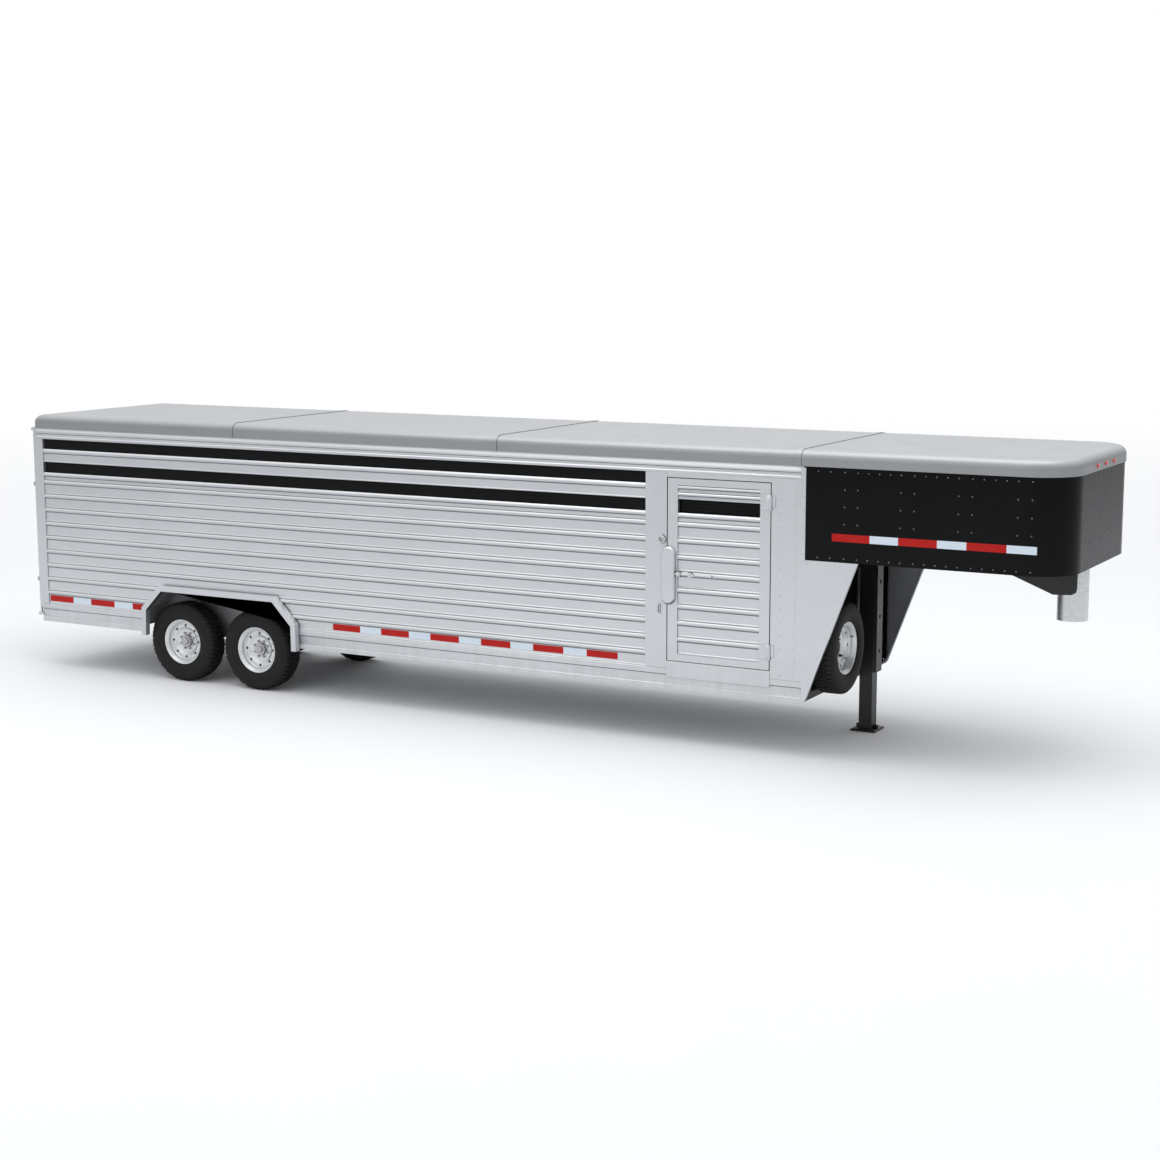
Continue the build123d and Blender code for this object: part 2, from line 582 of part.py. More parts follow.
def tail_lamps():
    """Round stop and tail lamps on the rear sill."""
    lamps = []
    for y in (-INNER + 90, -INNER + 200):
        lens = Cylinder(40, 18)
        lens = fillet(lens.edges().sort_by(Axis.Z)[-1], 8)
        lamps.append(Pos(-SILL_DEPTH - 9, y, BODY_BOTTOM + 66) * Rot(0, -90, 0) * lens)
    return both_sides(lamps)


# ---- side door -----------------------------------------------------------------------------------
DOOR_BACK = -HALF + WALL
DOOR_X0, DOOR_X1 = DOOR_REAR, DOOR_FRONT - GAP - 2
DOOR_Z0, DOOR_Z1 = DOOR_SILL + GAP, DOOR_HEAD - GAP
HINGE_X = DOOR_FRONT - 2.0
HINGE_Y = -HALF - HINGE_BARREL - 1.0
HINGE_LEVELS = (895.0, 2184.0)
LEAF = 5.0


def door_frame():
    """The door's tube frame with its hinge leaves and barrels."""
    frame = block(DOOR_X0, DOOR_X1, -HALF, DOOR_BACK, DOOR_Z0, DOOR_Z1)
    frame -= block(DOOR_X0 + DOOR_STILE, DOOR_X1 - DOOR_STILE, -HALF - 1, DOOR_BACK + 1,
                   DOOR_Z0 + 62, DOOR_Z1 - 60)
    for x in (DOOR_X0, DOOR_X1 - DOOR_STILE):
        frame -= block(x + SHEET, x + DOOR_STILE - SHEET, -HALF + SHEET, DOOR_BACK - SHEET,
                       DOOR_Z0 + SHEET, DOOR_Z1 - SHEET)
    frame -= block(DOOR_X0 + DOOR_STILE - 1, DOOR_X1 - DOOR_STILE + 1, -HALF + SHEET,
                   DOOR_BACK - SHEET, DOOR_Z0 + SHEET, DOOR_Z0 + 62 - SHEET)
    frame -= block(DOOR_X0 + DOOR_STILE - 1, DOOR_X1 - DOOR_STILE + 1, -HALF + SHEET,
                   DOOR_BACK - SHEET, DOOR_Z1 - 60 + SHEET, DOOR_Z1 - SHEET)
    for z in HINGE_LEVELS:
        leaf = block(HINGE_X - 88, HINGE_X - HINGE_BARREL - 1, -HALF - LEAF, -HALF, z - 66, z + 66)
        leaf += rod_z(HINGE_X, HINGE_Y, z - 66, z - 1, HINGE_BARREL)
        leaf += block(HINGE_X - HINGE_BARREL - 2, HINGE_X - 3, HINGE_Y, -HALF, z - 66, z - 1)
        frame += leaf - rod_z(HINGE_X, HINGE_Y, z - 67, z + 67, HINGE_PIN + PIN_CLEARANCE)
    return [frame]


def door_hinges():
    """The hinge halves on the post, each with its pin."""
    halves = []
    for z in HINGE_LEVELS:
        half = block(HINGE_X + HINGE_BARREL + 1, HINGE_X + 40, -HALF - LEAF, -HALF, z - 40, z + 66)
        half += rod_z(HINGE_X, HINGE_Y, z, z + 66, HINGE_BARREL)
        half += block(HINGE_X + 3, HINGE_X + HINGE_BARREL + 2, HINGE_Y, -HALF, z, z + 66)
        half += rod_z(HINGE_X, HINGE_Y, z - 64, z + 66, HINGE_PIN)
        halves.append(half)
    return halves


def door_slats():
    """The slats inside the door frame, at the levels of the wall's slats, with one vent slot."""
    x0, x1 = DOOR_X0 + DOOR_STILE, DOOR_X1 - DOOR_STILE
    low, high = DOOR_Z0 + 62, DOOR_Z1 - 60
    pieces = [slat(low, RAIL_TOP + SLAT_PITCH * 2 - low, x0, x1)]
    for bottom, height in slat_levels()[2:FULL_SLATS + 1]:
        pieces.append(slat(bottom, height, x0, x1))
    vent_top = VENT_2 + VENT + 10
    middle = (vent_top + high) / 2
    pieces.append(slat(vent_top, middle - vent_top, x0, x1))
    pieces.append(slat(middle, high - middle, x0, x1))
    return pieces


GUARD_Z0, GUARD_Z1 = 1237.0, 1750.0
GUARD_X0, GUARD_X1 = DOOR_REAR - 54, DOOR_REAR + 78
BOLT_Z = 1512.0
BOLT_RADIUS = 8.0
BOLT_Y = -HALF - 14.0


def latch_guard():
    """A half-round pressed cover on the door's edge that laps over the post and hides the keeper."""
    low, high = GUARD_Z0, GUARD_Z1
    middle, half = (GUARD_X0 + GUARD_X1) / 2, (GUARD_X1 - GUARD_X0) / 2
    outer = Pos(middle, -HALF, (low + high) / 2) * Rot(90, 0, 0) * round_cover(high - low, 2 * half, 34)
    inner = Pos(middle, -HALF, (low + high) / 2) * Rot(90, 0, 0) * round_cover(
        high - low - 10, 2 * half - 10, 29)
    guard = outer - inner
    guard -= block(middle, GUARD_X1 + 5, BOLT_Y - 9, BOLT_Y + 9, BOLT_Z - 9, BOLT_Z + 9)
    return [guard]


def round_cover(length, width, depth):
    """A round-ended cover, length along Y before it is stood up, with a rounded outer edge."""
    body = extrude(Rot(0, 0, 90) * SlotOverall(length, width), depth)
    return fillet(body.edges().group_by(Axis.Z)[-1], depth * 0.6)


def door_bolt():
    """The slide bolt: a round bar with a handle knob and a stop ring."""
    x0, x1 = DOOR_REAR - 30, DOOR_REAR + 430
    bolt = rod_x(x0, x1, BOLT_Y, BOLT_Z, BOLT_RADIUS)
    knob = DOOR_REAR + 262
    bolt += rod_y(knob, BOLT_Y - 26, BOLT_Y, BOLT_Z, 7)
    bolt += Pos(knob, BOLT_Y - 30, BOLT_Z) * Sphere(15)
    bolt += rod_x(x1 - 60, x1, BOLT_Y, BOLT_Z, 12)
    return [bolt]


def door_bolt_guides():
    """Two drilled blocks on the door that guide the bolt."""
    guides = []
    for x in (DOOR_REAR + 98, DOOR_REAR + 208):
        guide = block(x, x + 34, BOLT_Y - 15, -HALF, BOLT_Z - 19, BOLT_Z + 19)
        guides.append(guide - rod_x(x - 1, x + 35, BOLT_Y, BOLT_Z, BOLT_RADIUS + 0.3))
    return guides


def door_keeper():
    """The keeper on the post that the bolt enters, hidden by the guard."""
    x = DOOR_REAR - 34
    keeper = block(x, x + 22, BOLT_Y - 12, -HALF, BOLT_Z - 24, BOLT_Z + 24)
    return [keeper - rod_x(x - 1, x + 23, BOLT_Y, BOLT_Z, BOLT_RADIUS + 0.6)]


def door_holdbacks():
    """A ring above the guard and a small clip below it, both on the latch post."""
    ring = Pos(DOOR_REAR - 52, -HALF - 16, 1806) * Rot(90, 0, 0) * Torus(30, 5.5)
    stem = block(DOOR_REAR - 64, DOOR_REAR - 40, -HALF - 20, -HALF, 1822, 1846)
    clip = block(DOOR_REAR - 92, DOOR_REAR - 70, -HALF - 14, -HALF, 1150, 1236)
    clip -= block(DOOR_REAR - 87, DOOR_REAR - 75, -HALF - 15, -HALF - 5, 1160, 1226)
    return [ring + stem, clip]


def door_threshold():
    """The flat sill plate under the door."""
    plate = block(DOOR_REAR - 6, DOOR_FRONT, -HALF - 3, -HALF, RAIL_TOP - 76, DOOR_SILL - 8)
    sill = tube(DOOR_REAR - 8.0, DOOR_FRONT, -HALF, -INNER, RAIL_TOP, DOOR_SILL, SHEET, "x")
    return [plate + sill]


# ---- rear ----------------------------------------------------------------------------------------
GATE_Z0, GATE_Z1 = FLOOR_TOP + 12.0, SIDE_TOP - 30.0
GATE_X0, GATE_X1 = -WALL - 2.0, -2.0
GATE_HALF = HALF - 6.0
GATE_HINGE_X = (GATE_X0 + GATE_X1) / 2
GATE_HINGE_Y = HALF + 12.0
GATE_HINGE_LEVELS = (700.0, 1540.0, 2380.0)
GATE_RAIL = 70.0
CAM_X, CAM_Y = -REAR_HARDWARE + 16.0, -HALF + 34.0
CAM_RADIUS = 13.0


def rear_frame():
    """The header, sill and bumper that close the body at the rear, with the cam latch's keepers."""
    header = tube(0, 60, -INNER, INNER, TOP_RAIL, SIDE_TOP, SHEET, "y")
    sill = block(-SILL_DEPTH, 0, -INNER, INNER, BODY_BOTTOM, FLOOR_TOP)
    sill -= block(-SILL_DEPTH + SHEET, 1, -INNER - 1, INNER + 1, BODY_BOTTOM + SHEET, FLOOR_TOP - SHEET)
    pieces = [header, sill]
    for z in (BODY_BOTTOM + 60, SIDE_TOP - 28):
        keeper = block(CAM_X - 16, 0, CAM_Y - 30, -INNER, z, z + 26)
        keeper -= rod_z(CAM_X, CAM_Y, z - 1, z + 27, CAM_RADIUS + 0.5)
        keeper -= block(CAM_X - 17, CAM_X, CAM_Y - CAM_RADIUS - 0.5, CAM_Y + CAM_RADIUS + 0.5, z - 1, z + 27)
        pieces.append(keeper)
    return pieces


def rear_gate_hinges():
    """Three hinge halves on the left rear post, each with its pin."""
    halves = []
    for z in GATE_HINGE_LEVELS:
        half = rod_z(GATE_HINGE_X, GATE_HINGE_Y, z, z + 70, 11)
        half += block(GATE_HINGE_X - 5, 40, HALF, HALF + 12, z, z + 70)
        half += rod_z(GATE_HINGE_X, GATE_HINGE_Y, z - 68, z, 6)
        halves.append(half)
    return halves


def rear_levels(low):
    """Bottoms and heights of a rear gate's slats, with the two vent slots left open."""
    pitch = (VENT_2 - low) / FULL_SLATS
    return [(low + i * pitch, pitch) for i in range(FULL_SLATS)] + [(MIDDLE_BOTTOM, MIDDLE_SLAT)]


def rear_gate():
    """The full-width rear gate's frame: two stiles, a middle post, two rails, and hinge knuckles."""
    inner_edge = GATE_HALF - GATE_RAIL
    low, high = GATE_Z0 + GATE_RAIL, GATE_Z1 - GATE_RAIL
    hinged = tube(GATE_X0, GATE_X1, inner_edge, GATE_HALF, GATE_Z0, GATE_Z1, SHEET, "z")
    latched = tube(GATE_X0, GATE_X1, -GATE_HALF, -inner_edge, GATE_Z0, GATE_Z1, SHEET, "z")
    middle = tube(GATE_X0, GATE_X1, -GATE_RAIL / 2, GATE_RAIL / 2, low, high, SHEET, "z")
    bottom = tube(GATE_X0, GATE_X1, -inner_edge, inner_edge, GATE_Z0, low, SHEET, "y")
    top = tube(GATE_X0, GATE_X1, -inner_edge, inner_edge, high, GATE_Z1, SHEET, "y")
    for z in GATE_HINGE_LEVELS:
        hinged += rod_z(GATE_HINGE_X, GATE_HINGE_Y, z - 70, z - 1, 11)
        hinged += block(GATE_HINGE_X - 6, GATE_HINGE_X + 6, GATE_HALF - SHEET, GATE_HINGE_Y, z - 70, z - 1)
        hinged -= rod_z(GATE_HINGE_X, GATE_HINGE_Y, z - 71, z, 6 + PIN_CLEARANCE)
    return [hinged, latched, middle, bottom, top]


def rear_gate_slats():
    """Slats in the left half of the rear gate."""
    return [tube(GATE_X0 + 5, GATE_X1 - 5, GATE_RAIL / 2, GATE_HALF - GATE_RAIL, z, z + h, 3, "y")
            for z, h in rear_levels(GATE_Z0 + GATE_RAIL)]


SLIDER_X0, SLIDER_X1 = 4.0, 32.0
SLIDER_Y0, SLIDER_Y1 = -INNER + 56.0, -10.0
SLIDER_TRAVEL = 840.0


def slide_gate():
    """The half-width slide gate inside the rear gate, with its grab handle."""
    low, high = GATE_Z0 + 30, GATE_Z1 - 100
    frame = block(SLIDER_X0, SLIDER_X1, SLIDER_Y0, SLIDER_Y1, low, high)
    frame -= block(SLIDER_X0 - 1, SLIDER_X1 + 1, SLIDER_Y0 + 50, SLIDER_Y1 - 50, low + 50, high - 50)
    for z, h in rear_levels(low + 50):
        frame += tube(SLIDER_X0 + 4, SLIDER_X1 - 4, SLIDER_Y0 + 50, SLIDER_Y1 - 50, z, z + h, 3, "y")
    return [frame]


def slide_gate_tracks():
    """Channels on the inside of the rear gate that carry the slide gate, top and bottom."""
    low, high = GATE_Z0 + 30, GATE_Z1 - 100
    y0, y1 = SLIDER_Y0 - 8, SLIDER_Y1 + SLIDER_TRAVEL + 8
    tracks = []
    for z, flip in ((low, 1), (high, -1)):
        z0, z1 = sorted((z - flip * 12, z + flip * 22))
        channel = block(GATE_X1, SLIDER_X1 + 8, y0, y1, z0, z1)
        gap0, gap1 = sorted((z - flip * 0.4, z + flip * 30))
        channel -= block(SLIDER_X0 - 0.5, SLIDER_X1 + 0.5, y0 + 1, y1 - 1, gap0, gap1)
        tracks.append(channel)
    return tracks


def cam_bar():
    """The upright cam bar that locks the rear gate, with its handle."""
    bar = rod_z(CAM_X, CAM_Y, BODY_BOTTOM + 56, SIDE_TOP + 4, CAM_RADIUS)
    handle_z = 1120.0
    bar += block(CAM_X - 9, CAM_X + 9, CAM_Y, CAM_Y + 300, handle_z, handle_z + 12)
    bar += rod_y(CAM_X, CAM_Y + 240, CAM_Y + 360, handle_z + 6, 12)
    for z in (BODY_BOTTOM + 92, SIDE_TOP - 40):
        bar += block(CAM_X - 6, CAM_X + 6, CAM_Y, CAM_Y + 34, z, z + 9)
    return [bar]


def cam_bar_guides():
    """Two guides on the rear gate that the cam bar turns in."""
    guides = []
    for z in (900.0, 1900.0):
        guide = block(CAM_X - 16, GATE_X0, CAM_Y - 22, CAM_Y + 22, z, z + 40)
        guides.append(guide - rod_z(CAM_X, CAM_Y, z - 1, z + 41, CAM_RADIUS + 0.5))
    return guides


# ---- centre gate ---------------------------------------------------------------------------------
INNER_FACE = HALF - WALL - POST_DEPTH
CENTRE_HINGE_Y = INNER_FACE - 20.0
CENTRE_TOP = 2250.0
CENTRE_LOW = 680.0


def centre_gate_hangers():
    """Post and hooks on the left wall that the centre gate hangs on, and the strike post on the right."""
    x = CENTRE_GATE
    post = upright(x - 20, x + 20, -HALF + WALL, -INNER_FACE)
    hanger = other_side(post)
    for z in (800.0, 2100.0):
        hanger += block(x - 8, x + 8, CENTRE_HINGE_Y, INNER_FACE, z - 34, z - 22)
        hanger += rod_z(x, CENTRE_HINGE_Y, z - 34, z + 20, 8)
    post -= rod_y(x, -HALF, -INNER_FACE + 1, 1452.0, 13)
    return [post, hanger]


def centre_gate():
    """A tube gate across the trailer, with eyes for its hinge pins and a tube for the latch pin."""
    x, r = CENTRE_GATE, 17.0
    y0, y1 = -INNER_FACE + 14, CENTRE_HINGE_Y
    gate = rod_z(x, y1, CENTRE_LOW, CENTRE_TOP, r) + rod_z(x, y0 + r, CENTRE_LOW, CENTRE_TOP, r)
    for z in (CENTRE_LOW + r, 960.0, 1240.0, 1520.0, 1800.0, CENTRE_TOP - r):
        gate += rod_y(x, y0 + r, y1, z, r - 1)
    gate += rod_z(x, 0, CENTRE_LOW + r, CENTRE_TOP - r, r - 2)
    for z in (800.0, 2100.0):
        gate -= block(x - 30, x + 30, y1 - r - 1, y1 + r + 1, z - 36, z - 21.5)
        gate -= rod_z(x, y1, z - 22, z + 21, 8 + PIN_CLEARANCE)
    latch = block(x - 24, x + 24, y0 + r, y0 + 2 * r + 160, 1428, 1476)
    return [(gate + latch) - rod_y(x, y0 - 1, y0 + 400, 1452.0, 12.6)]


def centre_gate_pin():
    """The spring pin that locks the centre gate into the right-hand post, with its pull knob."""
    x, z = CENTRE_GATE, 1452.0
    y0 = -INNER_FACE - 24
    pin = rod_y(x, y0, y0 + 300, z, 12)
    pin += rod_x(x - 40, x + 40, y0 + 290, z, 9)
    return [pin]


# ---- running gear --------------------------------------------------------------------------------
def axle_tubes():
    """Square axle tubes under the floor, with a bush block in each end and pads up to the axle rails."""
    pieces = []
    end = WELL_INNER + 24.0
    h = AXLE_TUBE / 2
    for wheel in AXLE_STATIONS:
        x = wheel + ARM_REACH
        axle = tube(x - h, x + h, -end, end, AXLE_HEIGHT - h, AXLE_HEIGHT + h, 8, "y")
        for side in (-1, 1):
            y0, y1 = sorted((side * (end - 150), side * end))
            axle += block(x - h, x + h, y0, y1, AXLE_HEIGHT - h, AXLE_HEIGHT + h)
            pad_y = side * (WELL_INNER - 26)
            axle += block(x - 60, x + 60, pad_y - 22, pad_y + 22, AXLE_HEIGHT + h, BEAM_BOTTOM)
        pieces.append(axle - rod_y(x, -end - 1, end + 1, AXLE_HEIGHT, PIVOT_RADIUS + PIN_CLEARANCE))
    return pieces


def torsion_arm(wheel):
    """A trailing arm on the right: its pivot shaft in the axle tube, and the wheel's spindle."""
    x = wheel + ARM_REACH
    inner = -(WELL_INNER + 24.6)
    outer = inner - ARM_THICKNESS
    arm = rod_y(x, outer, inner, AXLE_HEIGHT, 40) + rod_y(wheel, outer, inner, TYRE_RADIUS, 36)
    dx, dz = x - wheel, ARM_DROP
    nx, nz = -dz / ARM_LENGTH * 34, dx / ARM_LENGTH * 34
    arm += plate_xz([(wheel + nx, TYRE_RADIUS + nz), (x + nx, AXLE_HEIGHT + nz),
                     (x - nx, AXLE_HEIGHT - nz), (wheel - nx, TYRE_RADIUS - nz)], outer, inner)
    arm += rod_y(x, inner, inner + 130, AXLE_HEIGHT, PIVOT_RADIUS)
    arm += rod_y(wheel, -WHEEL_FACE - 24, outer, TYRE_RADIUS, SPINDLE_RADIUS)
    return arm


def hub(wheel):
    """Hub and brake drum in one, the pilot, the grease cap, eight studs and their nuts."""
    back = -(WELL_INNER + 24.6) - ARM_THICKNESS - 3.0
    face = -WHEEL_FACE
    drum = rod_y(wheel, face, face + 92, TYRE_RADIUS, DRUM_RADIUS)
    drum -= rod_y(wheel, face + 10, face + 93, TYRE_RADIUS, DRUM_RADIUS - 10)
    drum += rod_y(wheel, face, back, TYRE_RADIUS, 48)
    drum += rod_y(wheel, face - 44, face, TYRE_RADIUS, HUB_PILOT - 1.0)
    drum -= rod_y(wheel, face - 30, back + 1, TYRE_RADIUS, SPINDLE_RADIUS + PIN_CLEARANCE)
    cap = rod_y(wheel, face - 66, face - 44, TYRE_RADIUS, 36)
    drum += fillet(cap.edges().sort_by(Axis.Y)[0], 8)
    for i in range(STUDS):
        a = 2 * math.pi * (i + 0.5) / STUDS
        x, z = wheel + BOLT_CIRCLE * math.cos(a), TYRE_RADIUS + BOLT_CIRCLE * math.sin(a)
        drum += rod_y(x, face - 38, face, z, 7.0)
    return [drum]


def lug_nuts(wheel):
    """Eight nuts on one wheel."""
    nuts = []
    for i in range(STUDS):
        a = 2 * math.pi * (i + 0.5) / STUDS
        x, z = wheel + BOLT_CIRCLE * math.cos(a), TYRE_RADIUS + BOLT_CIRCLE * math.sin(a)
        nut = extrude(RegularPolygon(12.5, 6), 18)
        nut = Pos(x, -WHEEL_FACE - 12, z) * Rot(90, 0, 0) * nut
        nuts.append(nut - rod_y(x, -WHEEL_FACE - 40, -WHEEL_FACE, z, 7.0))
    return nuts


def rim_solid():
    """A steel wheel about the Z axis: barrel with two flanges and a dished disc; outside at +Z."""
    w = TYRE_WIDTH / 2 - 22
    disc = 12.0
    profile = [
        (RIM_RADIUS, w), (RIM_RADIUS, w - 8), (TYRE_BORE, w - 14), (TYRE_BORE, w - 44),
        (TYRE_BORE - 16, w - 56), (TYRE_BORE - 16, -w + 56), (TYRE_BORE, -w + 44), (TYRE_BORE, -w + 14),
        (RIM_RADIUS, -w + 8), (RIM_RADIUS, -w), (RIM_RADIUS - 8, -w), (TYRE_BORE - 9, -w + 10),
        (TYRE_BORE - 9, -w + 46), (TYRE_BORE - 25, -w + 60), (TYRE_BORE - 25, w - 60 - disc),
        (150, w - 62 - disc), (118, 0), (HUB_PILOT, 0), (HUB_PILOT, disc), (110, disc),
        (142, w - 62), (TYRE_BORE - 25, w - 60), (TYRE_BORE - 9, w - 46), (TYRE_BORE - 9, w - 10),
        (RIM_RADIUS - 8, w)]
    face = Face(Wire.make_polygon([(r, 0, z) for r, z in profile], close=True))
    rim = revolve(face, Axis.Z)
    for i in range(STUDS):
        a = 360 * (i + 0.5) / STUDS
        rim -= Rot(0, 0, a) * Pos(BOLT_CIRCLE, 0, disc / 2) * Cylinder(7.6, disc + 2)
        rim -= Rot(0, 0, a) * Pos(163, 0, w - 62 - disc / 2) * Cylinder(15, disc + 14)
    return rim


def tyre_solid():
    """A tyre about the Z axis: round shoulders, bulged sidewalls, and four tread grooves."""
    w, r = TYRE_WIDTH / 2, TYRE_RADIUS
    bore = TYRE_BORE + 0.2
    lip = RIM_RADIUS + 0.4
    bead = w - 22 - 14.4
    outline = [
        Line((bore, 0, bead), (lip, 0, bead + 6.0)),
        Line((lip, 0, bead + 6.0), (lip, 0, w - 20)),
        ThreePointArc((lip, 0, w - 20), (300, 0, w), (372, 0, w - 12)),
        ThreePointArc((372, 0, w - 12), (394, 0, w - 26), (r - 1.5, 0, w - 42)),
        ThreePointArc((r - 1.5, 0, w - 42), (r, 0, 0), (r - 1.5, 0, -w + 42)),
        ThreePointArc((r - 1.5, 0, -w + 42), (394, 0, -w + 26), (372, 0, -w + 12)),
        ThreePointArc((372, 0, -w + 12), (300, 0, -w), (lip, 0, -w + 20)),
        Line((lip, 0, -w + 20), (lip, 0, -bead - 6.0)),
        Line((lip, 0, -bead - 6.0), (bore, 0, -bead)),
        Line((bore, 0, -bead), (bore + 14, 0, -bead + 16)),
        ThreePointArc((bore + 14, 0, -bead + 16), (r - 110, 0, -w + 14), (r - 24, 0, -w + 46)),
        Line((r - 24, 0, -w + 46), (r - 24, 0, w - 46)),
        ThreePointArc((r - 24, 0, w - 46), (r - 110, 0, w - 14), (bore + 14, 0, bead - 16)),
        Line((bore + 14, 0, bead - 16), (bore, 0, bead)),
    ]
    tyre = revolve(Face(Wire(outline)), Axis.Z)
    for z in (-48, -16, 16, 48):
        groove = Cylinder(r + 5, 7) - Cylinder(r - 9, 8)
        tyre -= Pos(0, 0, z) * groove
    return tyre


def on_wheel(shape, wheel):
    """Stand a wheel piece up at the right-hand wheel of an axle, its outside towards -Y."""
    return Pos(wheel, -TYRE_MIDDLE, TYRE_RADIUS) * Rot(90, 0, 0) * shape


def on_spare(shape):
    """Stand a wheel piece up on the spare carrier, its outside forward."""
    return Pos(BODY_LENGTH + 18 + TYRE_WIDTH / 2, SPARE_SIDE, SPARE_HEIGHT) * Rot(0, 90, 0) * shape


def spare_carrier():
    """The bracket on the bulkhead, its studs and the nuts that hold the spare wheel."""
    seat = BODY_LENGTH + 18 + TYRE_WIDTH / 2
    y, z = SPARE_SIDE, SPARE_HEIGHT
    bracket = block(BODY_LENGTH, BODY_LENGTH + 8, y - 160, y + 160, z - 160, z + 160)
    bracket += rod_x(BODY_LENGTH, seat, y, z, 50)
    bracket += rod_x(seat - 10, seat, y, z, 105)
    pieces = []
    for a in (0.5, 4.5):
        angle = 2 * math.pi * a / STUDS
        sy, sz = y + BOLT_CIRCLE * math.sin(angle), z - BOLT_CIRCLE * math.cos(angle)
        bracket += rod_x(seat, seat + 44, sy, sz, 7.0)
        nut = Pos(seat + 12, sy, sz) * Rot(0, 90, 0) * extrude(RegularPolygon(13, 6), 18)
        pieces.append(nut - rod_x(seat, seat + 60, sy, sz, 7.0))
    return [bracket] + pieces


# ---- landing jack --------------------------------------------------------------------------------
JACK_HALF = JACK_TUBE / 2
LEG_HALF = JACK_HALF - JACK_WALL - SLIDE_CLEARANCE
LEG_TOP = 1180.0
LEG_TRAVEL = 450.0
CRANK_X, CRANK_Z = JACK_STATION + 40.0, 1240.0
CRANK_ARM = 104.0
CRANK_RADIUS = 12.0


def jack_housing():
    """The fixed outer tube with its hole strip, crank boss, lid and the brackets to the bulkhead."""
    x0, x1 = JACK_STATION - JACK_HALF, JACK_STATION + JACK_HALF
    y0, y1 = JACK_SIDE - JACK_HALF, JACK_SIDE + JACK_HALF
    housing = tube(x0, x1, y0, y1, JACK_BOTTOM, NOSE_BOTTOM, JACK_WALL, "z")
    strip = block(x1, x1 + 30, y0 + 2, y1 - 2, JACK_BOTTOM, NOSE_BOTTOM)
    strip -= block(x1 - 1, x1 + 24, y0 + 8, y1 - 8, JACK_BOTTOM - 1, NOSE_BOTTOM + 1)
    for z in (735.0, 1050.0, 1365.0):
        strip -= rod_x(x1 + 10, x1 + 40, JACK_SIDE, z, 18)
    housing += strip
    for z in (700.0, 1500.0):
        housing += block(BODY_LENGTH, x0, y0 + 10, y1 - 10, z, z + 60)
        housing += block(BODY_LENGTH, BODY_LENGTH + 10, y0 - 50, y1 + 50, z - 20, z + 80)
    boss = rod_y(CRANK_X, y1 - 2, y1 + 22, CRANK_Z, 26)
    return [(housing + boss) - rod_y(CRANK_X, y1 - JACK_WALL - 1, y1 + 23, CRANK_Z, CRANK_RADIUS + PIN_CLEARANCE)]


def jack_leg():
    """The inner leg with its nut block at the top."""
    x, y, h = JACK_STATION, JACK_SIDE, LEG_HALF
    leg = tube(x - h, x + h, y - h, y + h, 20, LEG_TOP, JACK_WALL, "z")
    return [leg]


def jack_foot():
    """The foot plate, its edge bevelled, with gussets up to the leg."""
    x, y, h = JACK_STATION, JACK_SIDE, FOOT / 2
    pad = chamfer(block(x - h, x + h, y - h, y + h, 0, 20).faces().sort_by(Axis.Z)[-1].edges(), 8)
    for side in (-1, 1):
        x0, x1 = sorted((x + side * LEG_HALF, x + side * (h - 14)))
        pad += block(x0, x1, y - 6, y + 6, 20, 52)
    return [pad]


def crank():
    """The crank: shaft, arm and grip on the left of the jack."""
    y = JACK_SIDE + JACK_HALF
    shaft = rod_y(CRANK_X, y - 7, y + 40, CRANK_Z, CRANK_RADIUS)
    arm = block(CRANK_X - 14, CRANK_X + 14, y + 28, y + 40, CRANK_Z - CRANK_ARM - 14, CRANK_Z + 18)
    grip = rod_y(CRANK_X, y + 40, y + 130, CRANK_Z - CRANK_ARM, 14)
    return [shaft + arm + grip]


# ---- coupler -------------------------------------------------------------------------------------
def coupler_sleeve():
    """The round sleeve below the nose that the coupler tube slides in."""
    sleeve = rod_z(COUPLER_STATION, 0, SLEEVE_BOTTOM, NOSE_BOTTOM + 120, SLEEVE_RADIUS)
    sleeve -= rod_z(COUPLER_STATION, 0, SLEEVE_BOTTOM - 1, NOSE_BOTTOM + 108, SLEEVE_RADIUS - SLEEVE_WALL)
    return [sleeve]


def coupler_gussets():
    """The wedge of plate that braces the sleeve to the underside of the nose."""
    x = COUPLER_STATION
    outline = [(x - 822, NOSE_BOTTOM), (x - 131, 1443), (x + 28, 1452), (x + 62, 1474), (x + 70, 1510),
               (x + 70, NOSE_BOTTOM)]
    pocket = [(x - 760, NOSE_BOTTOM + 1), (x - 129, 1455), (x + 80, 1455), (x + 80, NOSE_BOTTOM + 1)]
    width = SLEEVE_RADIUS + 12
    horn = plate_xz(outline, -width, width) - plate_xz(pocket, -SLEEVE_RADIUS, SLEEVE_RADIUS)
    horn -= block(x, x + 90, -SLEEVE_RADIUS, SLEEVE_RADIUS, 1400, NOSE_BOTTOM + 1)
    return [horn - rod_z(x, 0, 1400, NOSE_BOTTOM + 1, SLEEVE_RADIUS)]


COUPLER_TRAVEL = 300.0
TUBE_BOTTOM = SLEEVE_BOTTOM + 17.0


def coupler_tube():
    """The sliding coupler tube with the ball socket in its lower end."""
    r = SLEEVE_RADIUS - SLEEVE_WALL - SLIDE_CLEARANCE
    x = COUPLER_STATION
    body = rod_z(x, 0, TUBE_BOTTOM, NOSE_BOTTOM + 60, r)
    body -= rod_z(x, 0, TUBE_BOTTOM + 90, NOSE_BOTTOM + 61, r - 12)
    body -= rod_z(x, 0, TUBE_BOTTOM - 1, TUBE_BOTTOM + 44, BALL_SOCKET)
    body -= Pos(x, 0, TUBE_BOTTOM + 44) * Sphere(BALL_SOCKET)
    return [body - rod_z(x - 78, 0, TUBE_BOTTOM - 1, TUBE_BOTTOM + 40, 8 + PIN_CLEARANCE)]


